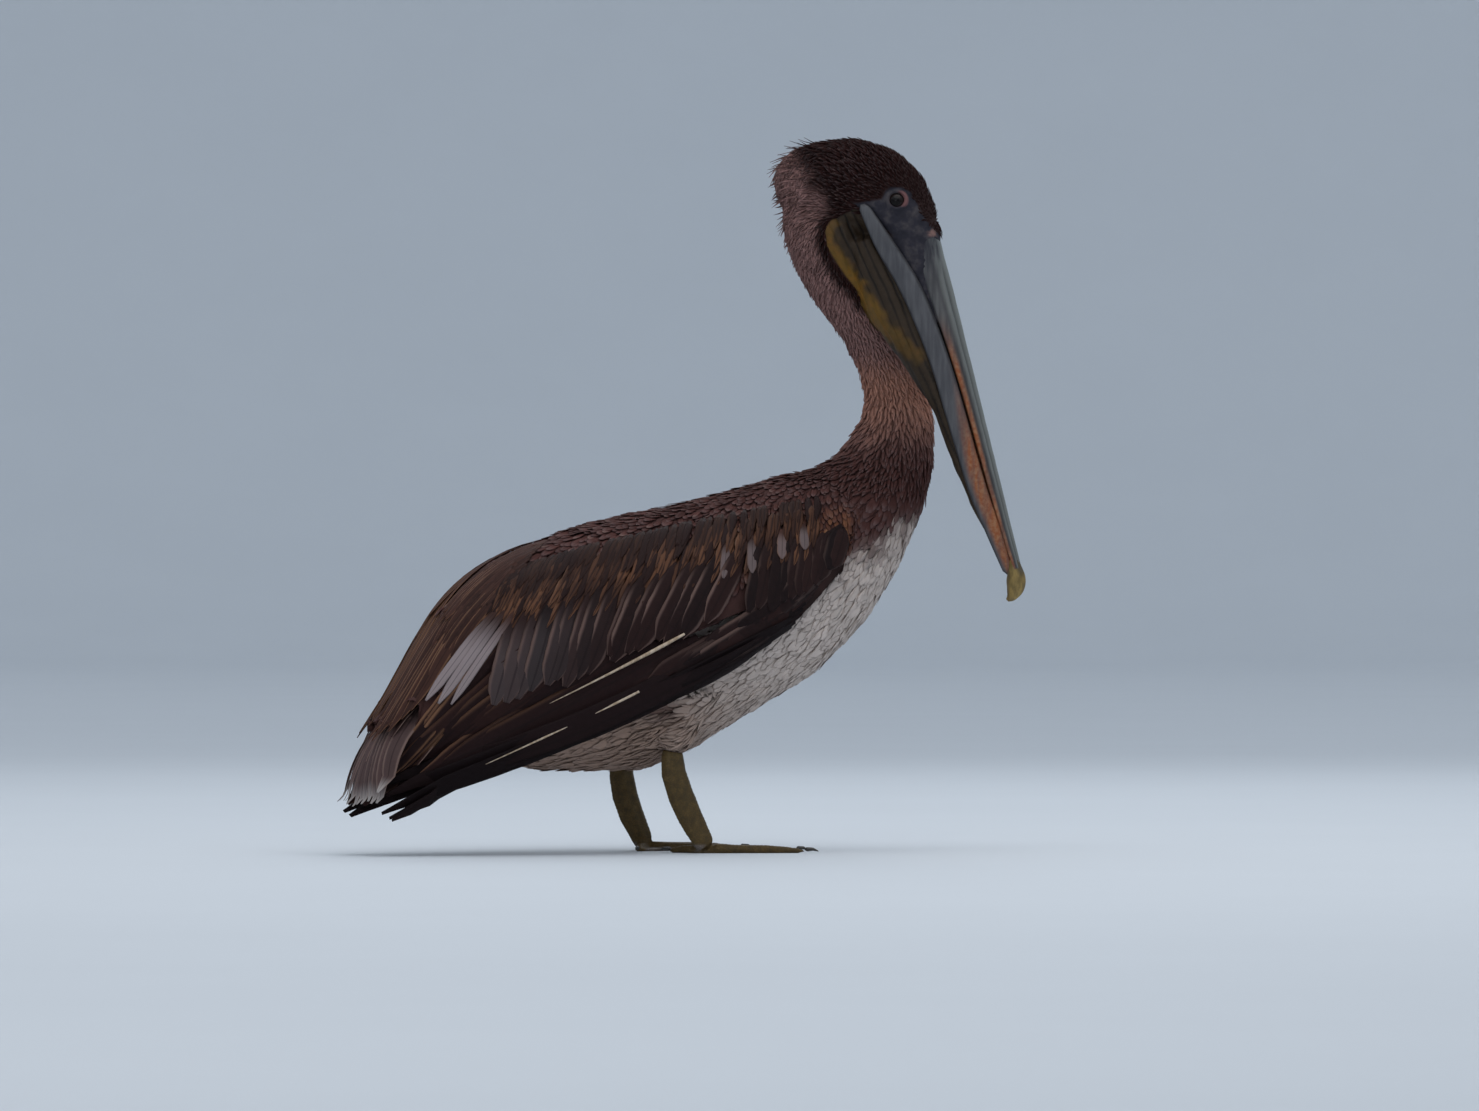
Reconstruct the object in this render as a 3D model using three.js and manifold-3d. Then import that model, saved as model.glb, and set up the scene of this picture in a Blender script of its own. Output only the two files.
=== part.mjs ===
// A standing brown pelican at life size, for three.js: millimetres, +X forward, +Y left, +Z up.
//
// The bird is laid out with the floor at z = 0 and the midline at y = 0. Most of it is made by
// sweeping a round section along a spine that runs from the tail towards the bill, so each
// section has a dorsal side, a ventral side and a half-width. Neighbours keep a thin gap.

import * as THREE from "three";
import { mergeVertices } from "three/addons/utils/BufferGeometryUtils.js";
import Module from "manifold-3d";

const wasm = await Module();
wasm.setup();

// ---------------------------------------------------------------- driving dimensions (mm, degrees)

const GAP = 0.35; // between neighbouring pieces
const RIGHT = -1;
const LEFT = 1;
const SIDES = [
  ["left", LEFT],
  ["right", RIGHT],
];

// Sections of the trunk and neck: x, y, z of the spine, dorsal reach, ventral reach, half-width.
const BODY = [
  [-232, 0, 112, 14, 14, 16],
  [-190, 0, 136, 42, 50, 44],
  [-150, 0, 150, 70, 78, 64],
  [-90, 0, 165, 102, 98, 81],
  [-20, 0, 185, 104, 116, 84],
  [50, 0, 205, 98, 98, 82],
  [120, 0, 235, 88, 90, 74],
  [180, 0, 275, 71, 72, 60],
  [222, 0, 315, 52, 50, 47],
  [240, 0, 350, 44, 40, 38],
  [245, -1, 389, 31, 33, 31],
  [233, -5, 426, 25.5, 28, 27],
  [209, -9, 466, 24.5, 30, 27],
  [184, -13, 503, 30, 33, 28],
  [169, -18, 540, 38, 34, 29],
  [170, -24, 574, 52, 30, 24],
];
const NECK_TURN_FROM = 0.6; // share of the body's spine where the neck starts to turn to the right
const NECK_CUTS = [0.545, 0.69, 0.82]; // shares where trunk, lower, middle and upper neck part
const NECK_SLICE_RADIUS = 75;

// The head is laid out from its own centre: forward, left and up after the head's turn.
const HEAD_CENTRE = new THREE.Vector3(192.9, -36, 581);
const HEAD_TURN = -35; // about the vertical, negative to the bird's right
const HEAD = [
  [-77, -4, 10, 16, 8],
  [-62, 3, 32, 32, 20],
  [-36, 7, 41, 40, 28],
  [-6, 3.5, 47, 34, 31],
  [20.5, -10, 46, 30, 29],
  [41, -30, 33, 24, 25],
  [54, -54, 18, 17, 20],
  [57, -66, 8, 10, 14],
]; // forward, up, dorsal reach, ventral reach, half-width
const EYE_RADIUS = 8;
const EYE_CENTRE = [35, 21.5, -8]; // forward, to the side, up

// The bill runs down from the base of its upper ridge: distance along, height over the ridge line.
const BILL_BASE = [69.7, -39.6]; // forward, up from the head's centre
const BILL_DROP = 14; // degrees off the vertical
const BILL_LENGTH = 300; // to the nail
const MAXILLA_DEPTH = [24, 23, 21, 17.5, 14.6, 12.5, 11.5, 10.5, 9.5, 8, 6];
const MAXILLA_WIDTH = [19, 20.5, 20.5, 19.5, 18.5, 17.5, 16.5, 15.5, 14, 12, 8];
const RIDGE_SHARE = 0.72; // of the upper bill's depth that lies above its widest line
const RAMUS_HEIGHT = [-55, -45, -33.5, -27, -23, -21.4, -20.2, -18.4, -14, -10.5];
const RAMUS_ASIDE = [28, 25.5, 21.5, 19, 17.5, 16, 14.5, 12.5, 9, 1.5];
const RAMUS_REACH = [4.5, 8.8, 9.8, 9.4, 9, 8.9, 8.5, 8.2, 7, 4.6];
const RAMUS_FROM = -44; // behind the ridge's base, at the jaw joint
const RAMUS_TO = 304;
const RAMUS_HALF_THICKNESS = 3;
const POUCH_LOW = [-80, -84, -80, -70, -54, -43, -39, -36, -30, -22];
const POUCH_FROM = -22;
const POUCH_TO = 268;
const POUCH_RISE = 4; // how far the pouch's rim rises inside the rods

// The folded wings make one cloak over the trunk. Same columns as BODY.
const CLOAK = [
  [-262, 0, 78, 12, 34, 26],
  [-235, 0, 104, 29, 56, 44],
  [-198, 0, 132, 46, 80, 60],
  [-160, 0, 152, 80, 88, 76],
  [-100, 0, 172, 104, 84, 91],
  [-20, 0, 185, 113, 100, 99],
  [50, 0, 205, 107, 100, 99],
  [120, 0, 235, 96, 90, 88],
  [180, 0, 275, 76, 72, 68],
  [214, 0, 305, 54, 54, 48],
];
// Side view of the wing's coverts, secondaries and scapulars: x, z from the shoulder to the tip.
const WING_FRONT = [
  [200, 360],
  [184, 300],
  [160, 246],
  [112, 203],
];
const WING_FOOT = [
  [66, 214],
  [-14, 184],
  [-88, 142],
  [-124, 120],
  [-176, 92],
  [-225, 62],
  [-290, 50],
];
const WING_TOP = 420;
const WING_REAR = -320;
const WING_THICKNESS = 9; // where nothing of the trunk lies under the wing

// The primaries lie in a band that runs forward from their tips: x, out to the side, z and the
// band's half-height.
const PRIMARY_TIPS = [
  [-223, 40, 38],
  [-239, 36, 30],
  [-258, 33, 27],
  [-268, 33, 42],
]; // from the lowest blade to the highest
const PRIMARY_BAND = [
  [-185, 62, 82, 13],
  [-110, 85, 117, 16],
  [-30, 96, 158, 25],
  [60, 96, 194, 19],
  [116, 89, 212, 6],
];
const LEFT_TIP_SHIFT = [26, -10, 16]; // the left wing's tips are tucked further in
const PRIMARY_HALF_THICKNESS = 2.4;
const PRIMARY_TIP = [3, 3, 1]; // dorsal reach, ventral reach, half-width
const PRIMARY_LEAN = -0.25; // of each blade's face, out to the side
const PRIMARY_OVERLAP = 0.56; // half-height of one blade, as a share of the band's

// The tail: a fan of flat feathers, hinged under the wing tips.
const TAIL_ROOT = new THREE.Vector3(-205, 0, 152);
const TAIL_TIP = new THREE.Vector3(-280, 0, 38);
const TAIL_BOW = 18; // how far the fan bulges up and back of a straight line
const TAIL_BOW_TOWARDS = new THREE.Vector3(-0.79, 0, 0.61);
const TAIL_DROOP = 8; // of the fan's outer feathers
const TAIL_LEAN = -0.32; // of the outer feathers' faces
const TAIL_FEATHERS = 8;
const TAIL_ROOT_SPREAD = 11;
const TAIL_TIP_SPREAD = 44;
const TAIL_HALF_THICKNESS = 1.3;
const TAIL_HALF_WIDTH = 12;
const TAIL_TAPER = [0.62, 1, 0.8, 0.5]; // from the tip to the root

// Legs: the hips, ankles and feet of each side.
const THIGH = { top: [12, 56, 152], bottom: [1, 53, 88], topRadius: 36, bottomRadius: 14.5 };
const LEG = {
  left: [
    [-1, 52, 96],
    [0, 52, 66],
    [6, 52, 40],
    [18, 53, 16],
    [24, 55, 5],
  ],
  right: [
    [1, 53, 96],
    [3, 52, 70],
    [14.6, 52, 40],
    [27, 54, 16],
    [33, 55, 5],
  ],
};
const LEG_FORE_AFT = [10, 12, 12.5, 10.5, 9.5]; // half-depth from the top to the foot
const LEG_HALF_WIDTH = [6.5, 6.2, 5.6, 5.4, 6.5];
const ANKLE_CUT = 12.5; // where the leg meets the foot
const FOOT_TOP = 60; // clear of the whole foot
const TOES = [
  { turn: 124, length: 38 },
  { turn: 32, length: 72 },
  { turn: 4, length: 92 },
  { turn: -22, length: 88 },
]; // first to fourth, turned inward from straight ahead; the first also points back
const TOE_RADIUS = [5.2, 4.4, 4.2, 3.6, 2.2];
const WEB_THICKNESS = 2.4;
const WEB_HEEL = 8; // how far the pad reaches behind the middle of the leg's foot
const WEB_HOLLOW = 0.16; // how far the web's edge curves in, as a share of its distance out
const CLAW_LENGTH = 11;
const CLAW_RADIUS = 2.3;

// ---------------------------------------------------------------- materials

/** A plain coloured finish. */
function finish(color, roughness, metalness = 0) {
  return new THREE.MeshStandardMaterial({ color, roughness, metalness });
}

const FINISHES = {
  plumageDark: finish(0x3a2a26, 0.85),
  plumageTaupe: finish(0x6d5a52, 0.85),
  plumagePale: finish(0xa9a29b, 0.85),
  flightFeather: finish(0x1f1719, 0.6),
  bill: finish(0x6f7478, 0.45),
  nail: finish(0x9a8a3c, 0.4),
  pouch: finish(0x5d5233, 0.55),
  eye: finish(0x0c0908, 0.1),
  leg: finish(0x5c573a, 0.6),
  foot: finish(0x6e655f, 0.6),
  claw: finish(0x1a1614, 0.4),
};

// ---------------------------------------------------------------- solids

const radians = THREE.MathUtils.degToRad;

/** A closed three.js geometry as a solid that can be joined and cut. */
function solid(geometry) {
  const bare = geometry.clone();
  bare.deleteAttribute("normal");
  bare.deleteAttribute("uv");
  const merged = mergeVertices(bare, 1e-4);
  return new wasm.Manifold(
    new wasm.Mesh({
      numProp: 3,
      vertProperties: new Float32Array(merged.attributes.position.array),
      triVerts: new Uint32Array(merged.index.array),
    }),
  );
}

/** The geometry of a joined or cut solid. */
function geometryOf(shape) {
  const mesh = shape.getMesh();
  const geometry = new THREE.BufferGeometry();
  geometry.setAttribute("position", new THREE.BufferAttribute(new Float32Array(mesh.vertProperties), 3));
  geometry.setIndex(new THREE.BufferAttribute(new Uint32Array(mesh.triVerts), 1));
  return geometry;
}

/** The largest connected piece of a solid, without the crumbs that a cut can leave. */
function largest(shape) {
  const pieces = shape.decompose();
  return pieces.reduce((a, b) => (b.volume() > a.volume() ? b : a));
}

/** The solids joined into one. */
function join(shapes) {
  return shapes.reduce((all, shape) => all.add(shape));
}

/** The solid less every one of the cutters. */
function cut(shape, cutters) {
  return cutters.reduce((rest, cutter) => rest.subtract(cutter), shape);
}

/** A smooth function of 0..1 through evenly spaced values. */
function profile(values) {
  const curve = new THREE.SplineCurve(values.map((value, i) => new THREE.Vector2(i, value)));
  return (t) => curve.getPoint(t).y;
}

/** The sign-keeping power that squares off a round section. */
function softPower(value, power) {
  return Math.sign(value) * Math.abs(value) ** power;
}

/** How far a section has opened at t, rising from 0 at either end over the share `round`. */
function opening(t, round) {
  const near = Math.min(t, 1 - t);
  return near >= round ? 1 : Math.sqrt(1 - (1 - near / round) ** 2);
}

/**
 * A solid swept along a spine. `stations` are rows of x, y, z, dorsal reach, ventral reach and
 * half-width; `leftward` gives the section's left at t, `square` above 2 makes it boxier,
 * `round` is the share of the length over which the ends close, and `grow` makes it all larger.
 */
function sweep({ stations, around, along, leftward, square = 2, round = 0.06, grow = 0 }) {
  const spine = new THREE.CatmullRomCurve3(stations.map(([x, y, z]) => new THREE.Vector3(x, y, z)));
  const dorsal = profile(stations.map((row) => row[3]));
  const ventral = profile(stations.map((row) => row[4]));
  const wide = profile(stations.map((row) => row[5]));
  const geometry = new THREE.SphereGeometry(1, around, along);
  const position = geometry.attributes.position;
  for (let i = 0; i < position.count; i++) {
    const t = THREE.MathUtils.clamp((1 - position.getY(i)) / 2, 0, 1);
    const turn = Math.atan2(position.getZ(i), position.getX(i));
    const tangent = spine.getTangent(t);
    const up = new THREE.Vector3().crossVectors(tangent, leftward(t)).normalize();
    const left = new THREE.Vector3().crossVectors(up, tangent);
    const open = opening(t, round);
    const across = softPower(Math.cos(turn), 2 / square) * (wide(t) + grow) * open;
    const reach = Math.sin(turn) > 0 ? dorsal(t) : ventral(t);
    const rise = softPower(Math.sin(turn), 2 / square) * (reach + grow) * open;
    const past = (1 - open) * grow * (t < 0.5 ? -1 : 1);
    const place = spine.getPoint(t);
    place.addScaledVector(left, across).addScaledVector(up, rise).addScaledVector(tangent, past);
    position.setXYZ(i, place.x, place.y, place.z);
  }
  return solid(geometry);
}

/** A leftward direction that stays put along a sweep. */
function steady(x, y, z) {
  const direction = new THREE.Vector3(x, y, z).normalize();
  return () => direction;
}

/** Everything between two heights. */
function layer(low, high) {
  const box = new THREE.BoxGeometry(1400, 900, high - low);
  box.translate(0, 0, (low + high) / 2);
  return solid(box);
}

/** A side view, given as x, z points, carried out sideways from the midline. */
function sideSlab(points, side) {
  const depth = 200;
  const shape = new THREE.Shape(points.map(([x, z]) => new THREE.Vector2(x, z)));
  const geometry = new THREE.ExtrudeGeometry(shape, { depth, bevelEnabled: false });
  geometry.rotateX(Math.PI / 2);
  geometry.translate(0, side === LEFT ? depth + GAP : -GAP, 0);
  return solid(geometry);
}

// ---------------------------------------------------------------- places on the head and bill

/** A point given from the head's centre, after the head's turn. */
function onHead(forward, left, up) {
  const offset = new THREE.Vector3(forward, left, up);
  return offset.applyAxisAngle(new THREE.Vector3(0, 0, 1), radians(HEAD_TURN)).add(HEAD_CENTRE);
}

/** A point given along the bill, to its left and over the line of its ridge. */
function onBill(along, left, height) {
  const drop = radians(BILL_DROP);
  const forward = BILL_BASE[0] + along * Math.sin(drop) + height * Math.cos(drop);
  const up = BILL_BASE[1] - along * Math.cos(drop) + height * Math.sin(drop);
  return onHead(forward, left, up);
}

/** The head's left, turned by a share of the head's turn. */
function leftTurned(share) {
  return new THREE.Vector3(0, 1, 0).applyAxisAngle(new THREE.Vector3(0, 0, 1), radians(HEAD_TURN * share));
}

const headLeft = () => leftTurned(1);

/** Evenly spaced steps from one number to another. */
function spaced(from, to, count) {
  return Array.from({ length: count }, (_, i) => THREE.MathUtils.lerp(from, to, i / (count - 1)));
}

// ---------------------------------------------------------------- trunk, neck and head

/** The trunk and neck as one body. */
function body(grow = 0) {
  const neckTurn = (t) => leftTurned(THREE.MathUtils.smoothstep(t, NECK_TURN_FROM, 1));
  return sweep({ stations: BODY, around: 20, along: 30, leftward: neckTurn, round: 0.05, grow });
}

/** A thin disc across the body's spine at a share of its length. */
function neckSlice(share) {
  const spine = new THREE.CatmullRomCurve3(BODY.map(([x, y, z]) => new THREE.Vector3(x, y, z)));
  const disc = new THREE.CylinderGeometry(NECK_SLICE_RADIUS, NECK_SLICE_RADIUS, GAP * 1.6, 24);
  const upright = new THREE.Vector3(0, 1, 0);
  disc.applyQuaternion(new THREE.Quaternion().setFromUnitVectors(upright, spine.getTangent(share)));
  const middle = spine.getPoint(share);
  disc.translate(middle.x, middle.y, middle.z);
  return solid(disc);
}

/** The head as one plain body, with no sockets or grooves. */
function head(grow = 0) {
  const stations = HEAD.map(([forward, up, dorsal, ventral, wide]) => {
    const place = onHead(forward, 0, up);
    return [place.x, place.y, place.z, dorsal, ventral, wide];
  });
  return sweep({ stations, around: 16, along: 14, leftward: headLeft, round: 0.09, grow });
}

/** An eyeball. */
function eye(side, grow = 0) {
  const [forward, aside, up] = EYE_CENTRE;
  const place = onHead(forward, aside * side, up);
  const ball = new THREE.SphereGeometry(EYE_RADIUS + grow, 8, 7);
  ball.translate(place.x, place.y, place.z);
  return solid(ball);
}

// ---------------------------------------------------------------- bill

/** The upper half of the bill, from inside the forehead to the nail. */
function maxilla(grow = 0) {
  const places = spaced(-12, BILL_LENGTH, MAXILLA_DEPTH.length);
  const stations = places.map((along, i) => {
    const above = MAXILLA_DEPTH[i] * RIDGE_SHARE;
    const place = onBill(along, 0, -above);
    return [place.x, place.y, place.z, above, MAXILLA_DEPTH[i] - above, MAXILLA_WIDTH[i]];
  });
  return sweep({ stations, around: 12, along: 12, leftward: headLeft, square: 2.4, round: 0.02, grow });
}

/** The hooked nail at the end of the bill. */
function nail() {
  const rows = [
    [BILL_LENGTH - 3, -5.5, 6, 5, 8],
    [BILL_LENGTH + 8, -6.5, 8.2, 8, 7.6],
    [BILL_LENGTH + 16, -9, 7.6, 7.5, 6],
    [BILL_LENGTH + 22, -13.5, 4.6, 5, 3.6],
    [BILL_LENGTH + 25, -18.5, 1.2, 1.2, 1.2],
  ]; // along, height, dorsal reach, ventral reach, half-width
  const stations = rows.map(([along, height, dorsal, ventral, wide]) => {
    const place = onBill(along, 0, height);
    return [place.x, place.y, place.z, dorsal, ventral, wide];
  });
  return sweep({ stations, around: 10, along: 7, leftward: headLeft, round: 0.14 });
}

/** One of the lower bill's two rods, which meet behind the nail. */
function ramus(side, grow = 0) {
  const places = spaced(RAMUS_FROM, RAMUS_TO, RAMUS_HEIGHT.length);
  const stations = places.map((along, i) => {
    const place = onBill(along, RAMUS_ASIDE[i] * side, RAMUS_HEIGHT[i]);
    const reach = RAMUS_REACH[i];
    return [place.x, place.y, place.z, reach, reach, RAMUS_HALF_THICKNESS];
  });
  return sweep({ stations, around: 8, along: 14, leftward: headLeft, square: 2.4, round: 0.03, grow });
}

/** The skin pouch that hangs between the rods. */
function pouch() {
  const places = spaced(POUCH_FROM, POUCH_TO, POUCH_LOW.length);
  const ramusHeight = profile(RAMUS_HEIGHT);
  const ramusAside = profile(RAMUS_ASIDE);
  const stations = places.map((along, i) => {
    const share = (along - RAMUS_FROM) / (RAMUS_TO - RAMUS_FROM);
    const top = ramusHeight(share) + POUCH_RISE;
    const half = (top - POUCH_LOW[i]) / 2;
    const place = onBill(along, 0, top - half);
    return [place.x, place.y, place.z, half, half, ramusAside(share) + 1];
  });
  return sweep({ stations, around: 10, along: 9, leftward: headLeft, square: 2.2, round: 0.06 });
}

// ---------------------------------------------------------------- wings and tail

/** Both folded wings as one cloak over the back. */
function cloak(grow = 0) {
  return sweep({ stations: CLOAK, around: 20, along: 16, leftward: steady(0, 1, 0), round: 0.05, grow });
}

/** The room under the wing tips, open below, where the tail starts. */
function tailRoom() {
  const openBelow = 40;
  const openBehind = 40;
  const rows = CLOAK.slice(0, 4).map(([x, y, z, up, down, wide], i) => {
    const thickness = WING_THICKNESS * (1 + 0.25 * i);
    return [x, y, z, up - thickness, down + openBelow, wide - thickness];
  });
  const [x, y, z, ...reaches] = rows[0];
  const stations = [[x - openBehind, y, z - openBehind, ...reaches], ...rows];
  return sweep({ stations, around: 12, along: 10, leftward: steady(0, 1, 0), round: 0.02 });
}

/** The side view of a wing down to the primaries. */
function wingOutline() {
  const [top] = WING_FRONT;
  const last = WING_FOOT.at(-1);
  return [[top[0], WING_TOP], ...WING_FRONT, ...WING_FOOT, [WING_REAR, last[1]], [WING_REAR, WING_TOP]];
}

/** The side view of the band below the wing's foot, where the primaries lie. */
function primaryOutline() {
  const edge = [WING_FRONT.at(-1), ...WING_FOOT].map(([x, z]) => [x, z - GAP * 1.5]);
  const ahead = 250;
  return [[ahead, edge[0][1]], ...edge, [WING_REAR, edge.at(-1)[1]], [WING_REAR, 2], [ahead, 2]];
}

/** One blade of the primaries, counted from the lowest. */
function primaryBlade(side, order) {
  const rise = THREE.MathUtils.lerp(-0.5, 0.5, order / (PRIMARY_TIPS.length - 1));
  const tucked = side === LEFT ? LEFT_TIP_SHIFT : [0, 0, 0];
  const [tipX, tipAside, tipZ] = PRIMARY_TIPS[order].map((value, i) => value + tucked[i]);
  const rows = PRIMARY_BAND.map(([bandX, bandAside, bandZ, half], i) => {
    const pull = 0.5 * (1 - i / PRIMARY_BAND.length);
    const x = bandX + tucked[0] * pull;
    const z = bandZ + tucked[2] * pull + rise * half;
    const reach = half * PRIMARY_OVERLAP;
    return [x, (bandAside - order) * side, z, reach, reach, PRIMARY_HALF_THICKNESS];
  });
  const tip = [tipX, tipAside * side, tipZ, ...PRIMARY_TIP];
  const leftward = steady(0, 1, PRIMARY_LEAN * side);
  return sweep({ stations: [tip, ...rows], around: 4, along: 7, leftward, round: 0.1 });
}

/** A wing's primaries, side by side. */
function primaries(side) {
  return join(PRIMARY_TIPS.map((_, order) => primaryBlade(side, order)));
}

/** The middle line of a tail feather: 0 at the tip, 1 at the root, -1..1 across the fan. */
function tailPlace(along, share) {
  const droop = TAIL_DROOP * share * share;
  const root = TAIL_ROOT.clone().add(new THREE.Vector3(0, share * TAIL_ROOT_SPREAD, -droop));
  const tip = TAIL_TIP.clone().add(new THREE.Vector3(droop * 0.9, share * TAIL_TIP_SPREAD, droop * 0.6));
  return tip.lerp(root, along).addScaledVector(TAIL_BOW_TOWARDS, TAIL_BOW * 4 * along * (1 - along));
}

/** The room that the fan takes up, which the wing tips leave clear. */
function tailClearance() {
  const stations = spaced(-0.1, 1.1, 5).map((along) => {
    const place = tailPlace(along, 0);
    const spread = THREE.MathUtils.lerp(TAIL_TIP_SPREAD, TAIL_ROOT_SPREAD, along);
    return [place.x, place.y, place.z, 5, 13, spread + TAIL_HALF_WIDTH + 5];
  });
  return sweep({ stations, around: 8, along: 6, leftward: steady(0, 1, 0), square: 4, round: 0.02 });
}

/** One tail feather, placed from -1 at the right edge of the fan to 1 at the left. */
function tailFeather(share) {
  const stations = TAIL_TAPER.map((taper, i) => {
    const place = tailPlace(i / (TAIL_TAPER.length - 1), share);
    return [place.x, place.y, place.z, TAIL_HALF_THICKNESS, TAIL_HALF_THICKNESS, TAIL_HALF_WIDTH * taper];
  });
  const leftward = steady(0, 1, TAIL_LEAN * share);
  return sweep({ stations, around: 4, along: 5, leftward, round: 0.12 });
}

/** The tail as a fan. */
function tail() {
  return join(spaced(-1, 1, TAIL_FEATHERS).map(tailFeather));
}

// ---------------------------------------------------------------- legs and feet

/** The feathered upper leg. */
function thigh(side, grow = 0) {
  const { top, bottom, topRadius, bottomRadius } = THIGH;
  const stations = spaced(0, 1, 4).map((t) => {
    const [x, aside, z] = bottom.map((value, i) => THREE.MathUtils.lerp(value, top[i], t));
    const radius = THREE.MathUtils.lerp(bottomRadius, topRadius, t ** 1.3);
    return [x, aside * side, z, radius * 1.05, radius * 1.05, radius * 0.8];
  });
  return sweep({ stations, around: 12, along: 8, leftward: steady(0, 1, 0), round: 0.12, grow });
}

/** The bare lower leg, down into the foot. */
function leg(name, side) {
  const stations = LEG[name].map(([x, aside, z], i) => {
    return [x, aside * side, z, LEG_FORE_AFT[i], LEG_FORE_AFT[i], LEG_HALF_WIDTH[i]];
  });
  return sweep({ stations, around: 8, along: 9, leftward: steady(0, 1, 0), round: 0.06 });
}

/** The point at a share of a toe's length, on the floor. */
function toePoint(name, side, toe, share) {
  const [x, aside] = LEG[name].at(-1);
  const turn = radians(toe.turn) * -side;
  const reach = toe.length * share;
  return new THREE.Vector3(x + Math.cos(turn) * reach, aside * side + Math.sin(turn) * reach, 0);
}

/** A padded toe. */
function toe(name, side, shape, grow = 0) {
  const stations = TOE_RADIUS.map((radius, i) => {
    const place = toePoint(name, side, shape, i / (TOE_RADIUS.length - 1));
    return [place.x, place.y, radius * 0.72, radius, radius, radius];
  });
  const turn = radians(shape.turn) * -side;
  const left = steady(-Math.sin(turn), Math.cos(turn), 0);
  return sweep({ stations, around: 6, along: 5, leftward: left, round: 0.08, grow });
}

/** The web that joins the four toes, with its edges curved in between them. */
function web(name, side) {
  const tips = TOES.map((shape) => toePoint(name, side, shape, 0.93));
  const heel = toePoint(name, side, TOES[0], 0);
  const shape = new THREE.Shape();
  shape.moveTo(heel.x - WEB_HEEL, heel.y);
  shape.lineTo(tips[0].x, tips[0].y);
  tips.slice(1).forEach((tip, i) => {
    const middle = tips[i].clone().lerp(tip, 0.5).lerp(heel, WEB_HOLLOW);
    shape.quadraticCurveTo(middle.x, middle.y, tip.x, tip.y);
  });
  shape.closePath();
  const geometry = new THREE.ExtrudeGeometry(shape, {
    depth: WEB_THICKNESS,
    bevelEnabled: false,
    curveSegments: 4,
  });
  return solid(geometry);
}

/** A foot: toes, web and the end of the leg, with one flat sole. */
function foot(name, side) {
  const toes = TOES.map((shape) => toe(name, side, shape));
  const ankle = leg(name, side).intersect(layer(0, ANKLE_CUT));
  return join([ankle, web(name, side), ...toes]).intersect(layer(0, FOOT_TOP));
}

/** A curved claw at the end of a toe. */
function claw(name, side, shape) {
  const tip = toePoint(name, side, shape, 1);
  const ahead = toePoint(name, side, shape, 1 + CLAW_LENGTH / shape.length).sub(tip);
  const rows = [
    [-0.2, 2.9, CLAW_RADIUS],
    [0.3, 3.6, CLAW_RADIUS * 0.85],
    [0.75, 2.8, CLAW_RADIUS * 0.5],
    [1, 1, 0.45],
  ]; // share of the claw's length, height, radius
  const stations = rows.map(([share, height, radius]) => {
    const place = tip.clone().addScaledVector(ahead, share);
    return [place.x, place.y, height, radius, Math.min(radius, height - 0.3), radius];
  });
  const turn = radians(shape.turn) * -side;
  const left = steady(-Math.sin(turn), Math.cos(turn), 0);
  return sweep({ stations, around: 5, along: 4, leftward: left, round: 0.12 });
}

// ---------------------------------------------------------------- the bird

const bird = new THREE.Group();

/** Adds a named piece to the bird. */
function add(name, shape, material) {
  const mesh = new THREE.Mesh(geometryOf(largest(shape)), material);
  mesh.name = name;
  bird.add(mesh);
}

/** Trunk, neck in three lengths, head and eyes. */
function addBody() {
  const rods = [ramus(LEFT, GAP), ramus(RIGHT, GAP)];
  const whole = cut(body(), [head(GAP), ...rods, ...NECK_CUTS.map(neckSlice)]);
  const lowest = (shape) => shape.boundingBox().min[2];
  const lengths = whole.decompose().filter((shape) => shape.volume() > 1000);
  lengths.sort((a, b) => lowest(a) - lowest(b));
  const [trunk, lower, middle, upper] = lengths;
  add("trunk", trunk, FINISHES.plumagePale);
  add("neck_lower", lower, FINISHES.plumageDark);
  add("neck_middle", middle, FINISHES.plumageTaupe);
  add("neck_upper", upper, FINISHES.plumageTaupe);
  add("head", cut(head(), [eye(LEFT, GAP), eye(RIGHT, GAP), ...rods]), FINISHES.plumageDark);
  SIDES.forEach(([name, side]) => add(`eye_${name}`, eye(side), FINISHES.eye));
}

/** Upper bill, nail, lower bill and pouch. */
function addBill() {
  const rods = [ramus(LEFT, GAP), ramus(RIGHT, GAP)];
  const upper = cut(maxilla(), [head(GAP)]);
  add("maxilla", upper, FINISHES.bill);
  add("bill_nail", cut(nail(), [maxilla(GAP), ...rods]), FINISHES.nail);
  add("mandible", cut(join([ramus(LEFT), ramus(RIGHT)]), [maxilla(GAP)]), FINISHES.bill);
  add("pouch", cut(pouch(), [maxilla(GAP), head(GAP), body(GAP), ...rods]), FINISHES.pouch);
}

/** Wings, primaries and tail. */
function addFeathers() {
  const trunk = body(GAP);
  SIDES.forEach(([name, side]) => {
    const wing = cut(cloak().intersect(sideSlab(wingOutline(), side)), [trunk, tailRoom(), tailClearance()]);
    add(`wing_${name}`, wing, FINISHES.plumageDark);
    const band = primaries(side).intersect(sideSlab(primaryOutline(), side));
    const clear = cut(band, [trunk, thigh(side, GAP), tailClearance()]);
    add(`primaries_${name}`, clear, FINISHES.flightFeather);
  });
  add("tail", cut(tail(), [trunk]), FINISHES.flightFeather);
}

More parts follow.
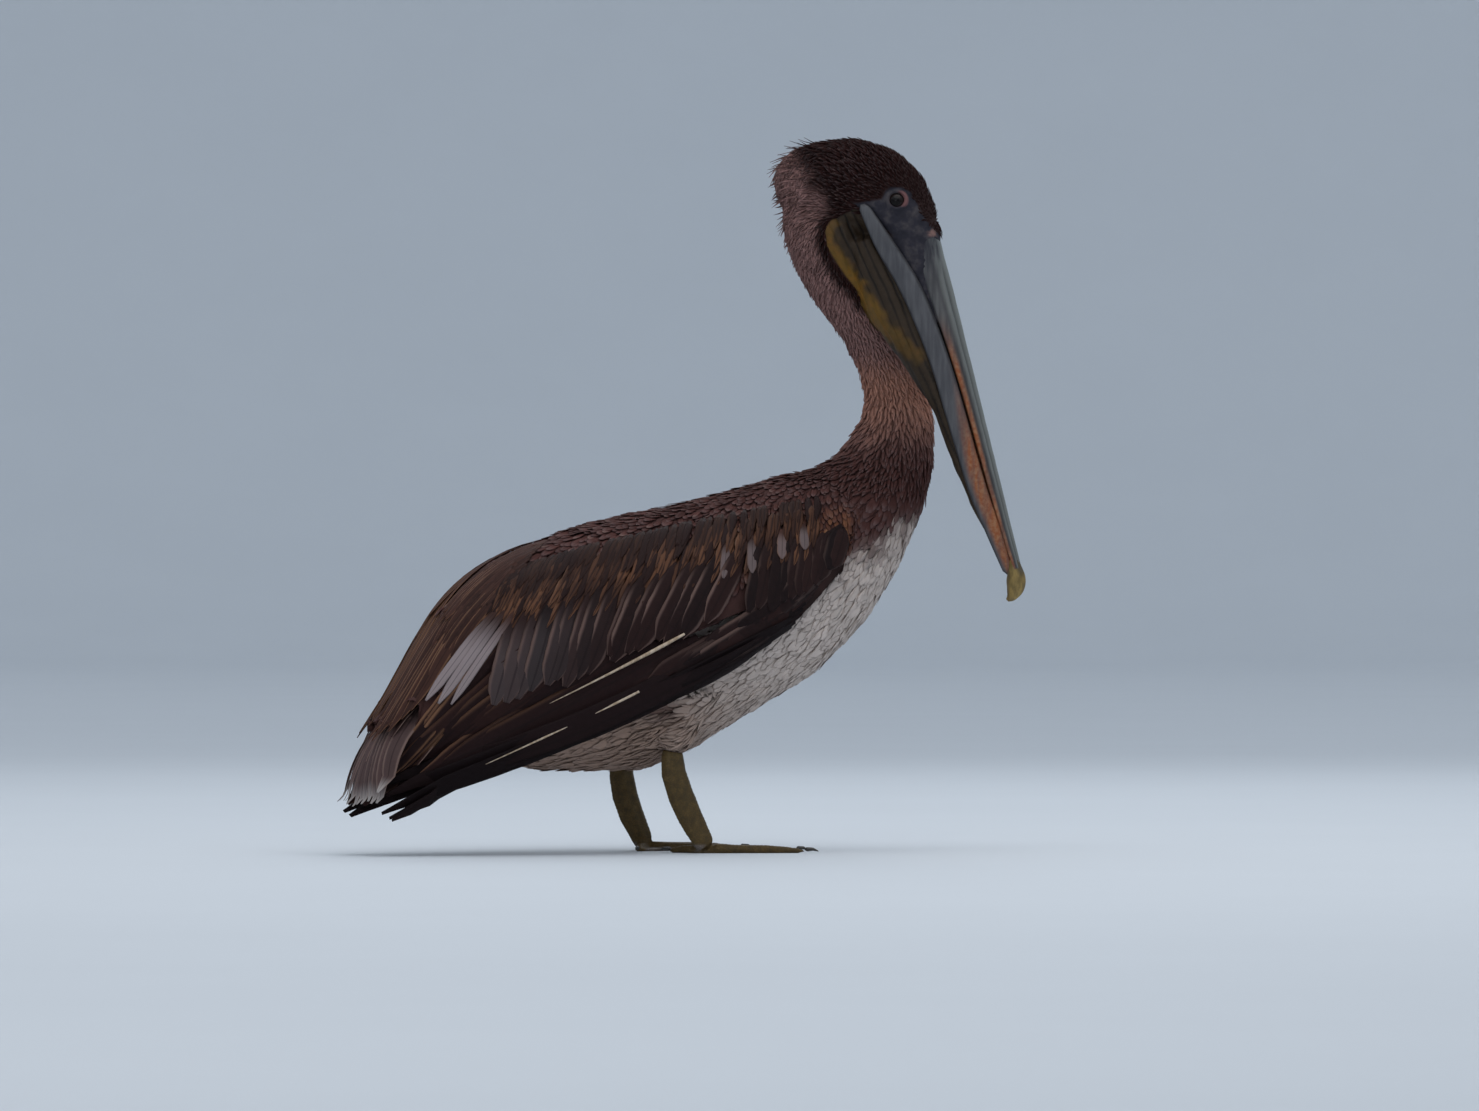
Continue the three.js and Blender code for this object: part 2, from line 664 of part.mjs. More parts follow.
/** Thighs, legs, feet and claws. */
function addLegs() {
  SIDES.forEach(([name, side]) => {
    add(`thigh_${name}`, cut(thigh(side), [body(GAP)]), FINISHES.plumagePale);
    const shank = leg(name, side).intersect(layer(ANKLE_CUT + GAP, 400));
    add(`leg_${name}`, cut(shank, [thigh(side, GAP), body(GAP)]), FINISHES.leg);
    add(`foot_${name}`, foot(name, side), FINISHES.foot);
    TOES.forEach((shape, i) => {
      const point = cut(claw(name, side, shape), [toe(name, side, shape, GAP)]);
      add(`claw_${name}_${i + 1}`, point, FINISHES.claw);
    });
  });
}

addBody();
addBill();
addFeathers();
addLegs();

// The origin is on the floor, at the middle of the bird's box.
const box = new THREE.Box3().setFromObject(bird);
const centre = box.getCenter(new THREE.Vector3());
bird.position.set(-centre.x, -centre.y, -box.min.z);

const pelican = new THREE.Group();
pelican.add(bird);

export default pelican;
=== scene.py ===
"""The looks of a standing brown pelican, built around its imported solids.

Metres, +X the way the body faces, +Y the bird's left, +Z up. One skin stands in for the flesh. Small
feathers root in it and lie along it, the long feathers of wings and tail are laid one by one, and the
bill, eyes, lids and claws are pieces of their own.
"""

from __future__ import annotations

import logging
import math
from dataclasses import dataclass, field
from enum import Enum
from typing import Callable, Sequence

import bmesh
import bpy
import numpy as np
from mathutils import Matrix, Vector, noise
from mathutils.bvhtree import BVHTree


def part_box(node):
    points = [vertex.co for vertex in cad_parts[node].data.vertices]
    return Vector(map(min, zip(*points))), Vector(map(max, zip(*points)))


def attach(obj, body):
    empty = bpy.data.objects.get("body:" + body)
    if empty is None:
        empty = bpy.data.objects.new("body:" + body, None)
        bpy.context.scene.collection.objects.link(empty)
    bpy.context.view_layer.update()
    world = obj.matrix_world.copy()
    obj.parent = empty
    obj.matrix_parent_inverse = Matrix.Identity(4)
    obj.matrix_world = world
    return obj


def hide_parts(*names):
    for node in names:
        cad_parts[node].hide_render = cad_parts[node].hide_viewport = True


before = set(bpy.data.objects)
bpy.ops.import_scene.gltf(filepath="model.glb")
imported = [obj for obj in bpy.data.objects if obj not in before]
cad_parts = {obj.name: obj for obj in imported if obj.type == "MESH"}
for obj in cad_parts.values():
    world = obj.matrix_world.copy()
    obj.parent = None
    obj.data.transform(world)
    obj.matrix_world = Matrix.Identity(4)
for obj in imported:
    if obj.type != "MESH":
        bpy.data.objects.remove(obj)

LOG = logging.getLogger("pelican")
MM = 0.001
BODY = "root"
UP = np.array([0.0, 0.0, 1.0])
UV_NAME = "OFBake"
PATCH = 0.003  # across each small feather's patch on the bake map
NO_QUADS = np.empty((0, 4), int)
TRIES = 3.2  # places tried for each small feather that fits

Triple = tuple[float, float, float]
Colour = Triple
Stops = tuple[tuple[float, Colour], ...]


# ---------------------------------------------------------------- small tools


def unit(vectors: np.ndarray) -> np.ndarray:
    """Vectors scaled to length one.

    Args:
        vectors: An array whose last axis holds the vectors.

    Returns:
        The array of unit vectors.
    """
    length = np.linalg.norm(vectors, axis=-1, keepdims=True)
    return vectors / np.maximum(length, 1e-12)


def smooth(low: float, high: float, values: np.ndarray) -> np.ndarray:
    """A soft step.

    Args:
        low: Where the step starts from 0.
        high: Where it reaches 1; it may be below `low`.
        values: The numbers to step.

    Returns:
        Numbers from 0 to 1.
    """
    share = np.clip((values - low) / (high - low), 0.0, 1.0)
    return share * share * (3.0 - 2.0 * share)


def soft_mm(low: float, high: float, values: np.ndarray) -> np.ndarray:
    """A soft step over lengths, with its two ends given in millimetres."""
    return smooth(low * MM, high * MM, values)


def bell(values: np.ndarray, width: float) -> np.ndarray:
    """1 at zero, falling away softly on both sides."""
    return np.exp(-((values / width) ** 2))


def along_curve(knots: Sequence[Sequence[float]], shares: np.ndarray) -> np.ndarray:
    """Points of a smooth curve through evenly spaced knots.

    Args:
        knots: The knots, one row each.
        shares: Places along the curve, from 0 to 1.

    Returns:
        One row for each share.
    """
    rows = np.atleast_2d(np.asarray(knots, float))
    rows = rows.T if rows.shape[0] == 1 else rows
    place = np.clip(np.asarray(shares, float), 0.0, 1.0) * (len(rows) - 1)
    index = np.minimum(place.astype(int), len(rows) - 2)
    t = (place - index)[:, None]
    padded = np.vstack([2 * rows[0] - rows[1], rows, 2 * rows[-1] - rows[-2]])
    a, b, c, d = (padded[index + i] for i in range(4))
    return 0.5 * (2 * b + (c - a) * t + (2 * a - 5 * b + 4 * c - d) * t**2 + (3 * b - a - 3 * c + d) * t**3)


def curve_values(knots: Sequence[float], shares: np.ndarray) -> np.ndarray:
    """One number for each share, on a smooth curve through evenly spaced numbers."""
    return along_curve([[knot] for knot in knots], shares)[:, 0]


def signed_distance(points: np.ndarray, polygon: Sequence[Sequence[float]]) -> np.ndarray:
    """How far flat points are outside a polygon.

    Args:
        points: Rows of two numbers.
        polygon: The polygon's corners in order.

    Returns:
        Distances, negative inside the polygon.
    """
    corners = np.asarray(polygon, float)
    following = np.roll(corners, -1, axis=0)
    nearest = np.full(len(points), np.inf)
    inside = np.zeros(len(points), bool)
    for start, end in zip(corners, following, strict=True):
        edge = end - start
        offset = points - start
        share = np.clip(offset @ edge / (edge @ edge), 0.0, 1.0)
        nearest = np.minimum(nearest, np.linalg.norm(offset - share[:, None] * edge, axis=1))
        crosses = (start[1] > points[:, 1]) != (end[1] > points[:, 1])
        rise = edge[1] if abs(edge[1]) > 1e-12 else 1e-12
        inside ^= crosses & (points[:, 0] < edge[0] * (points[:, 1] - start[1]) / rise + start[0])
    return np.where(inside, -nearest, nearest)


def line_distance(points: np.ndarray, line: Sequence[Sequence[float]]) -> np.ndarray:
    """How far points are from an open line.

    Args:
        points: Rows of coordinates.
        line: The line's corners in order.

    Returns:
        Distances, never negative.
    """
    corners = np.asarray(line, float)
    nearest = np.full(len(points), np.inf)
    for start, end in zip(corners[:-1], corners[1:], strict=True):
        edge = end - start
        offset = points - start
        share = np.clip(offset @ edge / (edge @ edge), 0.0, 1.0)
        nearest = np.minimum(nearest, np.linalg.norm(offset - share[:, None] * edge, axis=1))
    return nearest


def value_noise(points: np.ndarray, size: float, seed: float) -> np.ndarray:
    """Soft noise from about -1 to 1 at each point.

    Args:
        points: Rows of x, y and z.
        size: The width of the noise's blobs.
        seed: Shifts the noise.

    Returns:
        One number for each point.
    """
    shifted = points / size + seed
    return np.array([noise.noise(Vector(row)) for row in shifted.tolist()])


# ---------------------------------------------------------------- places on the head and bill


@dataclass(frozen=True)
class Head:
    """The head's own directions, found from the two packed eyes."""

    eye_forward: float = 35 * MM
    eye_up: float = -8 * MM
    left: np.ndarray = field(init=False)
    forward: np.ndarray = field(init=False)
    centre: np.ndarray = field(init=False)
    eyes: dict[str, np.ndarray] = field(init=False)

    def __post_init__(self) -> None:
        """Measures the eyes and sets the directions from them."""
        eyes = {}
        for side in ("left", "right"):
            low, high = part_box(f"eye_{side}")
            eyes[side] = (np.array(low) + np.array(high)) / 2
        left = unit(eyes["left"] - eyes["right"])
        forward = np.cross(left, UP)
        middle = (eyes["left"] + eyes["right"]) / 2
        object.__setattr__(self, "eyes", eyes)
        object.__setattr__(self, "left", left)
        object.__setattr__(self, "forward", forward)
        object.__setattr__(self, "centre", middle - forward * self.eye_forward - UP * self.eye_up)

    def place(self, forward: np.ndarray, left: np.ndarray, up: np.ndarray) -> np.ndarray:
        """Points given forward, left and up of the head's centre.

        Args:
            forward: Distances ahead.
            left: Distances to the left.
            up: Distances up.

        Returns:
            Rows of x, y and z.
        """
        forward, left, up = np.broadcast_arrays(forward, left, up)
        offset = forward[..., None] * self.forward + left[..., None] * self.left + up[..., None] * UP
        return self.centre + offset

    def local(self, points: np.ndarray) -> np.ndarray:
        """Rows of forward, left and up for points in the frame."""
        return (points - self.centre) @ np.array([self.forward, self.left, UP]).T


@dataclass(frozen=True)
class BillLine:
    """The line of the bill's upper ridge, which hangs from the forehead."""

    head: Head
    base_forward: float = 69.7 * MM
    base_up: float = -39.6 * MM
    drop: float = math.radians(14)

    def place(self, along: np.ndarray, left: np.ndarray, height: np.ndarray) -> np.ndarray:
        """Points given along the bill, to its left and over its ridge line.

        Args:
            along: Distances from the forehead.
            left: Distances to the left.
            height: Distances over the ridge line, negative below it.

        Returns:
            Rows of x, y and z.
        """
        along, left, height = np.broadcast_arrays(along, left, height)
        forward = self.base_forward + along * math.sin(self.drop) + height * math.cos(self.drop)
        up = self.base_up - along * math.cos(self.drop) + height * math.sin(self.drop)
        return self.head.place(forward, left, up)

    def local(self, points: np.ndarray) -> np.ndarray:
        """Points in the frame as the bill has them.

        Args:
            points: Rows of x, y and z.

        Returns:
            Rows of along, left and height.
        """
        rows = self.head.local(points)
        ahead, over = rows[:, 0] - self.base_forward, rows[:, 2] - self.base_up
        along = ahead * math.sin(self.drop) - over * math.cos(self.drop)
        return np.stack([along, rows[:, 1], ahead * math.cos(self.drop) + over * math.sin(self.drop)], 1)


HEAD = Head()
BILL = BillLine(HEAD)

# Outlines on the side of the head, forward and up of its centre.
FACE_PATCH = np.array(
    [
        [-3, -10], [10, -8], [23, -6], [26, 1], [31, 4.5], [40, 4.5], [48, 0],
        [54, -12], [61, -25], [70, -35], [74, -46], [62, -66], [52, -60], [41, -46],
        [23, -30], [6, -15],
    ]
) * MM  # fmt: skip
THROAT_PATCH = np.array(
    [
        [-14, -20], [-23, -24], [-28, -32], [-26, -48], [-12, -72], [4, -95], [22, -118],
        [40, -135], [54, -146], [70, -150], [80, -130], [60, -90], [40, -55], [12, -22], [-2, -14],
    ]
) * MM  # fmt: skip
THROAT_EDGE = THROAT_PATCH[1:9]  # the side of the throat patch that meets the neck's feathers


# ---------------------------------------------------------------- shaders


class Wire:
    """One output of a shader node, with arithmetic that adds Math nodes."""

    def __init__(self, shader: "Shader", socket: bpy.types.NodeSocket) -> None:
        """Keeps the shader whose node it is, and the socket."""
        self.shader = shader
        self.socket = socket

    def math(self, operation: str, *others: "Wire | float") -> "Wire":
        """A Math node on this value and others.

        Args:
            operation: The node's operation.
            others: The values after this one.

        Returns:
            The result.
        """
        sockets = {0: self, **dict(enumerate(others, 1))}
        return self.shader.node("ShaderNodeMath", {"operation": operation}, sockets)

    def __add__(self, other: "Wire | float") -> "Wire":
        """This value plus another."""
        return self.math("ADD", other)

    __radd__ = __add__

    def __mul__(self, other: "Wire | float") -> "Wire":
        """This value times another."""
        return self.math("MULTIPLY", other)

    __rmul__ = __mul__

    def __sub__(self, other: "Wire | float") -> "Wire":
        """This value less another."""
        return self.math("SUBTRACT", other)

    def __rsub__(self, other: float) -> "Wire":
        """Another value less this one."""
        return self.shader.node("ShaderNodeMath", {"operation": "SUBTRACT"}, {0: other, 1: self})

    def __abs__(self) -> "Wire":
        """This value without its sign."""
        return self.math("ABSOLUTE")

    def sine(self) -> "Wire":
        """The sine of this value."""
        return self.math("SINE")

    def step(self, low: float, high: float) -> "Wire":
        """A soft step of this value.

        Args:
            low: Where it starts from 0.
            high: Where it reaches 1.

        Returns:
            A value from 0 to 1.
        """
        settings = {"interpolation_type": "SMOOTHSTEP"}
        sockets = {"Value": self, "From Min": low, "From Max": high}
        return self.shader.node("ShaderNodeMapRange", settings, sockets)


class Shader:
    """A material's node tree around one Principled shader."""

    def __init__(self, name: str) -> None:
        """Starts an empty material.

        Args:
            name: The material's name.
        """
        self.material = bpy.data.materials.new(name)
        self.material.use_nodes = True
        self.tree = self.material.node_tree
        self.tree.nodes.clear()
        self.surface = self.tree.nodes.new("ShaderNodeBsdfPrincipled")
        output = self.tree.nodes.new("ShaderNodeOutputMaterial")
        self.tree.links.new(self.surface.outputs[0], output.inputs[0])

    def node(self, kind: str, settings: dict, sockets: dict, output: str | int = 0) -> Wire:
        """Adds any node.

        Args:
            kind: The node's type.
            settings: Its settings, set first; "stops" are a ramp's places and colours.
            sockets: Numbers, colours or wires for its inputs, by name or place.
            output: The output to give back.

        Returns:
            That output.
        """
        node = self.tree.nodes.new(kind)
        for key, value in settings.items():
            if key == "stops":
                self.set_stops(node.color_ramp, value)
            else:
                setattr(node, key, value)
        for key, value in sockets.items():
            self.feed(node.inputs[key], value)
        return Wire(self, node.outputs[output])

    def feed(self, slot: bpy.types.NodeSocket, value: Wire | Triple | float) -> None:
        """Feeds one input.

        Args:
            slot: The input.
            value: A wire, a colour, a vector or a number.
        """
        if isinstance(value, Wire):
            self.tree.links.new(value.socket, slot)
        elif slot.type == "RGBA":
            slot.default_value = (*value, 1.0)
        else:
            slot.default_value = value

    def set_stops(self, ramp: bpy.types.ColorRamp, stops: Stops) -> None:
        """Gives a colour ramp its stops.

        Args:
            ramp: The ramp, changed in place.
            stops: Places and colours.
        """
        while len(ramp.elements) < len(stops):
            ramp.elements.new(0.5)
        for element, (place, colour) in zip(ramp.elements, stops, strict=True):
            element.position = place
            element.color = (*colour, 1.0)

    def value(self, name: str) -> Wire:
        """A number that the mesh carries at its points."""
        return self.node("ShaderNodeAttribute", {"attribute_name": name}, {}, "Fac")

    def mix(
        self, share: Wire | float, first: Wire | Colour, second: Wire | Colour, blend: str = "MIX"
    ) -> Wire:
        """Mixes two colours.

        Args:
            share: How much of the second colour.
            first: The colour at 0.
            second: The colour at 1.
            blend: The way of mixing.

        Returns:
            The mixed colour.
        """
        settings = {"data_type": "RGBA", "blend_type": blend}
        return self.node("ShaderNodeMix", settings, {0: share, 6: first, 7: second}, 2)

    def ramp(self, share: Wire, stops: Stops) -> Wire:
        """A colour ramp."""
        return self.node("ShaderNodeValToRGB", {"stops": stops}, {"Fac": share})

    def noise(self, size: float, detail: float = 2.0, stretch: Triple = (1, 1, 1)) -> Wire:
        """Noise in the object's own space.

        Args:
            size: The width of its blobs in metres.
            detail: How many finer octaves it has.
            stretch: How much finer it is along x, y and z.

        Returns:
            A value from 0 to 1.
        """
        place = self.node("ShaderNodeTexCoord", {}, {}, "Object")
        scaled = self.node("ShaderNodeMapping", {}, {"Vector": place, "Scale": stretch})
        sockets = {"Vector": scaled, "Scale": 1.0 / size, "Detail": detail}
        return self.node("ShaderNodeTexNoise", {}, sockets)

    def cells(self, size: float, feature: str = "F1") -> Wire:
        """Distances in a cell pattern, as between scales.

        Args:
            size: The width of its cells in metres.
            feature: Which distance is measured.

        Returns:
            The distance, in cell widths.
        """
        place = self.node("ShaderNodeTexCoord", {}, {}, "Object")
        sockets = {"Vector": place, "Scale": 1.0 / size}
        return self.node("ShaderNodeTexVoronoi", {"feature": feature}, sockets, "Distance")

    def bump(self, height: Wire, distance: float, strength: float = 1.0) -> Wire:
        """A normal pushed about by a height."""
        sockets = {"Height": height, "Distance": distance, "Strength": strength}
        return self.node("ShaderNodeBump", {}, sockets)

    def dress(
        self, base: Wire | Colour, roughness: Wire | float, normal: Wire | None = None, **plain: float
    ) -> None:
        """Sets the shader's own sockets.

        Args:
            base: The base colour.
            roughness: The roughness.
            normal: A normal, where there is one.
            plain: Other sockets that stay the same all over, with spaces as underscores.
        """
        sockets = {"Base Color": base, "Roughness": roughness}
        if normal is not None:
            sockets["Normal"] = normal
        for key, value in {**sockets, **plain}.items():
            self.feed(self.surface.inputs[key.replace("_", " ")], value)


# ---------------------------------------------------------------- meshes


@dataclass
class MeshParts:
    """Points, faces and point values gathered for one piece."""

    name: str
    points: list[np.ndarray] = field(default_factory=list)
    quads: list[np.ndarray] = field(default_factory=list)
    triangles: list[np.ndarray] = field(default_factory=list)
    values: dict[str, list[np.ndarray]] = field(default_factory=dict)
    places: list[np.ndarray] = field(default_factory=list)
    count: int = 0

    def add(
        self,
        points: np.ndarray,
        quads: np.ndarray,
        triangles: np.ndarray,
        values: dict[str, np.ndarray] | None = None,
        places: np.ndarray | None = None,
    ) -> None:
        """Adds a batch of points with their faces.

        Args:
            points: Rows of x, y and z.
            quads: Rows of four point numbers within the batch.
            triangles: Rows of three point numbers within the batch.
            values: A number for each point, by name.
            places: Each point's place on the bake map.
        """
        self.points.append(points)
        self.quads.append(np.asarray(quads, int).reshape(-1, 4) + self.count)
        self.triangles.append(np.asarray(triangles, int).reshape(-1, 3) + self.count)
        for key, numbers in (values or {}).items():
            self.values.setdefault(key, []).append(np.broadcast_to(numbers, len(points)))
        if places is not None:
            self.places.append(places)
        self.count += len(points)

    def make(self) -> bpy.types.Object:
        """Makes the object from what was gathered.

        Returns:
            The new object, smooth-shaded and linked to the scene.
        """
        points = np.vstack(self.points)
        quads = np.vstack(self.quads)
        triangles = np.vstack(self.triangles)
        mesh = bpy.data.meshes.new(self.name)
        mesh.vertices.add(len(points))
        mesh.vertices.foreach_set("co", points.astype(np.float32).ravel())
        corners = np.concatenate([quads.ravel(), triangles.ravel()])
        starts = np.concatenate([np.arange(len(quads)) * 4, len(quads) * 4 + np.arange(len(triangles)) * 3])
        mesh.loops.add(len(corners))
        mesh.loops.foreach_set("vertex_index", corners.astype(np.int32))
        mesh.polygons.add(len(starts))
        mesh.polygons.foreach_set("loop_start", starts.astype(np.int32))
        mesh.polygons.foreach_set("use_smooth", np.full(len(starts), True))
        mesh.update(calc_edges=True)
        for key, batches in self.values.items():
            set_value(mesh, key, np.concatenate(batches))
        if self.places:
            layer = mesh.uv_layers.new(name=UV_NAME)
            layer.data.foreach_set("uv", np.vstack(self.places)[corners].astype(np.float32).ravel())
        mesh.validate()
        thing = bpy.data.objects.new(self.name, mesh)
        bpy.context.scene.collection.objects.link(thing)
        return thing


def set_value(mesh: bpy.types.Mesh, name: str, numbers: np.ndarray) -> None:
    """Stores a number at each point of a mesh."""
    layer = mesh.attributes.new(name, "FLOAT", "POINT")
    layer.data.foreach_set("value", numbers.astype(np.float32))


def read(items: bpy.types.bpy_prop_collection, key: str, width: int, kind: type = np.float32) -> np.ndarray:
    """Reads one thing from every item of a mesh.

    Args:
        items: The mesh's points, edges or other items.
        key: What is read from each.
        width: How many numbers each has.
        kind: The type of the numbers.

    Returns:
        One row for each item.
    """
    flat = np.empty(len(items) * width, kind)
    items.foreach_get(key, flat)
    return flat.reshape(-1, width)


def mesh_points(mesh: bpy.types.Mesh) -> np.ndarray:
    """A mesh's points as rows of x, y and z."""
    return read(mesh.vertices, "co", 3).astype(float)


def set_points(mesh: bpy.types.Mesh, points: np.ndarray) -> None:
    """Moves a mesh's points."""
    mesh.vertices.foreach_set("co", points.astype(np.float32).ravel())
    mesh.update()


def mesh_normals(mesh: bpy.types.Mesh) -> np.ndarray:
    """The soft normal at each point of a mesh."""
    return read(mesh.vertex_normals, "vector", 3).astype(float)


def mesh_edges(mesh: bpy.types.Mesh) -> np.ndarray:
    """A mesh's edges as rows of two point numbers."""
    return read(mesh.edges, "vertices", 2, np.int32)


def mesh_triangles(mesh: bpy.types.Mesh, key: str = "vertices") -> np.ndarray:
    """A mesh's triangles as rows of three point numbers, or of loop numbers."""
    mesh.calc_loop_triangles()
    return read(mesh.loop_triangles, key, 3, np.int32)


def surface_normals(mesh: bpy.types.Mesh) -> np.ndarray:
    """A mesh's soft normals after it has been moved."""
    mesh.update()
    return mesh_normals(mesh)


def soften(
    points: np.ndarray, edges: np.ndarray, rounds: int, share: np.ndarray | float = 1.0, back: float = -0.57
) -> np.ndarray:
    """Smooths points along edges, by default without shrinking the form.

    Args:
        points: Rows of x, y and z.
        edges: Rows of two point numbers.
        rounds: How many rounds of smoothing.
        share: How strongly each point takes part, 0 to 1.
        back: The step back after each step of smoothing.

    Returns:
        The moved points.
    """
    moved = points.copy()
    degree = np.bincount(edges.ravel(), minlength=len(points)).astype(float)[:, None]
    weight = np.asarray(share, float)
    weight = weight[:, None] if weight.ndim else weight
    first, second = edges[:, 0], edges[:, 1]
    for _ in range(rounds):
        for factor in (0.55, back):
            total = np.zeros_like(moved)
            for axis in range(3):
                total[:, axis] = np.bincount(first, moved[second, axis], len(moved))
                total[:, axis] += np.bincount(second, moved[first, axis], len(moved))
            moved = moved + weight * factor * (total / np.maximum(degree, 1) - moved)
    return moved


def ring_quads(rows: int, around: int) -> np.ndarray:
    """The faces between rings of points.

    Args:
        rows: How many rings there are.
        around: How many points each has.

    Returns:
        Rows of four point numbers.
    """
    first = np.arange(rows - 1)[:, None] * around
    here = (first + np.arange(around)).ravel()
    beside = (first + (np.arange(around) + 1) % around).ravel()
    return np.stack([here, beside, beside + around, here + around], 1)


def node_copy(
    names: Sequence[str], title: str, more: Callable[[MeshParts], None] | None = None
) -> bpy.types.Object:
    """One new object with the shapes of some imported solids.

    Args:
        names: The solids' names.
        title: The new object's name.
        more: Adds further forms.

    Returns:
        The new object, linked to the scene.
    """
    parts = MeshParts(title)
    for name in names:
        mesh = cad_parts[name].data
        parts.add(mesh_points(mesh), NO_QUADS, mesh_triangles(mesh))
    if more:
        more(parts)
    return parts.make()


def remesh(thing: bpy.types.Object, size: float, rounds: int) -> None:
    """Turns an object into one even, softened surface.

    Args:
        thing: The object, changed in place.
        size: The width of its new faces.
        rounds: How many rounds of smoothing follow.
    """
    change = thing.modifiers.new("remesh", "REMESH")
    change.mode = "VOXEL"
    change.voxel_size = size
    graph = bpy.context.evaluated_depsgraph_get()
    mesh = bpy.data.meshes.new_from_object(thing.evaluated_get(graph))
    thing.modifiers.clear()
    thing.data = mesh
    mesh.name = thing.name
    set_points(mesh, soften(mesh_points(mesh), mesh_edges(mesh), rounds))
    mesh.polygons.foreach_set("use_smooth", np.full(len(mesh.polygons), True))


def drop(thing: bpy.types.Object) -> None:
    """Deletes a helper object and its mesh.

    Args:
        thing: The object.
    """
    mesh = thing.data
    bpy.data.objects.remove(thing)
    bpy.data.meshes.remove(mesh)


class Surface:
    """A surface that feathers root in and follow."""

    def __init__(self, thing: bpy.types.Object) -> None:
        """Reads the object's triangles, soft normals and bake map.

        Args:
            thing: The object.
        """
        mesh = thing.data
        self.points = mesh_points(mesh)
        self.normals = mesh_normals(mesh)
        self.triangles = mesh_triangles(mesh)
        self.tree = BVHTree.FromPolygons(self.points.tolist(), self.triangles.tolist())
        self.places = None
        if UV_NAME in mesh.uv_layers:
            flat = read(mesh.uv_layers[UV_NAME].data, "uv", 2)
            self.places = flat[mesh_triangles(mesh, "loops")].astype(float)

    def shares(self, points: np.ndarray, faces: np.ndarray) -> np.ndarray:
        """How much each corner of a face counts at points on it.

        Args:
            points: Rows of x, y and z.
            faces: The face that each point lies on.

        Returns:
            Three shares for each point.
        """
        a, b, c = (self.points[self.triangles[faces, i]] for i in range(3))
        ab, ac, ap = b - a, c - a, points - a
        d00, d01, d11 = (ab * ab).sum(1), (ab * ac).sum(1), (ac * ac).sum(1)
        d20, d21 = (ap * ab).sum(1), (ap * ac).sum(1)
        scale = np.maximum(d00 * d11 - d01 * d01, 1e-20)
        second = np.clip((d11 * d20 - d01 * d21) / scale, 0, 1)
        third = np.clip((d00 * d21 - d01 * d20) / scale, 0, 1)
        weights = np.stack([np.maximum(1 - second - third, 0), second, third], 1)
        return weights / weights.sum(1, keepdims=True)

    def nearest(self, points: np.ndarray) -> tuple[np.ndarray, np.ndarray, np.ndarray]:
        """The nearest places on the surface.

        Args:
            points: Rows of x, y and z.

        Returns:
            The places, their soft normals and the faces they lie on.
        """
        found = [self.tree.find_nearest(row) for row in points.tolist()]
        places = np.array([item[0][:] for item in found])
        faces = np.array([item[2] for item in found])
        weights = self.shares(places, faces)
        normals = (self.normals[self.triangles[faces]] * weights[:, :, None]).sum(1)
        return places, unit(normals), faces

    def bake_places(self, points: np.ndarray, faces: np.ndarray) -> np.ndarray:
        """Where points on the surface lie on its bake map."""
        return (self.places[faces] * self.shares(points, faces)[:, :, None]).sum(1)

    def scatter(
        self, rng: np.random.Generator, gap: float, allowed: np.ndarray
    ) -> tuple[np.ndarray, np.ndarray, np.ndarray]:
        """Random places on the surface that keep their distance from each other.

        Args:
            rng: The random numbers.
            gap: The distance to keep.
            allowed: Tells which faces may be used.

        Returns:
            The places, their soft normals and the faces they lie on.
        """
        corners = self.points[self.triangles]
        usable = np.nonzero(allowed)[0]
        slants = np.cross(corners[:, 1] - corners[:, 0], corners[:, 2] - corners[:, 0])
        area = np.linalg.norm(slants, axis=1)[usable] / 2
        closest = gap * gap
        wanted = area / closest
        total = int(wanted.sum() * TRIES)
        chosen = rng.choice(len(usable), total, p=wanted / wanted.sum())
        faces = usable[chosen]
        first, second = rng.random(total), rng.random(total)
        flip = first + second > 1
        first[flip], second[flip] = 1 - first[flip], 1 - second[flip]
        a, b, c = (corners[faces, i] for i in range(3))
        spots = a + (b - a) * first[:, None] + (c - a) * second[:, None]
        keys = np.floor(spots / gap).astype(int).tolist()
        taken: dict[tuple[int, int, int], list[Triple]] = {}
        kept = []
        near = [(i, j, k) for i in (-1, 0, 1) for j in (-1, 0, 1) for k in (-1, 0, 1)]
        for index, ((x, y, z), key) in enumerate(zip(spots.tolist(), keys, strict=True)):
            free = True
            for i, j, k in near:
                for other in taken.get((key[0] + i, key[1] + j, key[2] + k), ()):
                    if (x - other[0]) ** 2 + (y - other[1]) ** 2 + (z - other[2]) ** 2 < closest:
                        free = False
                        break
                if not free:
                    break
            if free:
                taken.setdefault(tuple(key), []).append((x, y, z))
                kept.append(index)
        weights = np.stack([1 - first - second, first, second], 1)[kept]
        faces = faces[kept]
        normals = (self.normals[self.triangles[faces]] * weights[:, :, None]).sum(1)
        return spots[kept], unit(normals), faces


# ---------------------------------------------------------------- feathers


@dataclass(frozen=True)
class Cut:
    """How one kind of feather is cut: how wide it is on its way to the tip, and how finely it is made."""

    widths: tuple[float, ...]
    rows: int = 3
    columns: int = 3
    crown: float = 0.12  # height of the middle over the edges, in half widths
    thick: float = 0.3 * MM
    ragged: float = 0.0  # how much the edges break up, as a share of the half width
    tip_rows: float = 1.0  # over 1 draws the rows together towards the tip
    shaft: float = 0.0  # height of a raised shaft

    def shares(self) -> np.ndarray:
        """Where the rows lie between root and tip."""
        even = np.linspace(0, 1, self.rows + 1)
        return 1 - (1 - even) ** self.tip_rows


ROUNDED = (0.35, 0.75, 0.95, 1.0, 0.98, 0.86, 0.2)
POINTED = (0.35, 0.8, 1.0, 0.95, 0.75, 0.45, 0.06)
SLIM = (0.4, 0.75, 1.0, 0.95, 0.8, 0.5, 0.08)


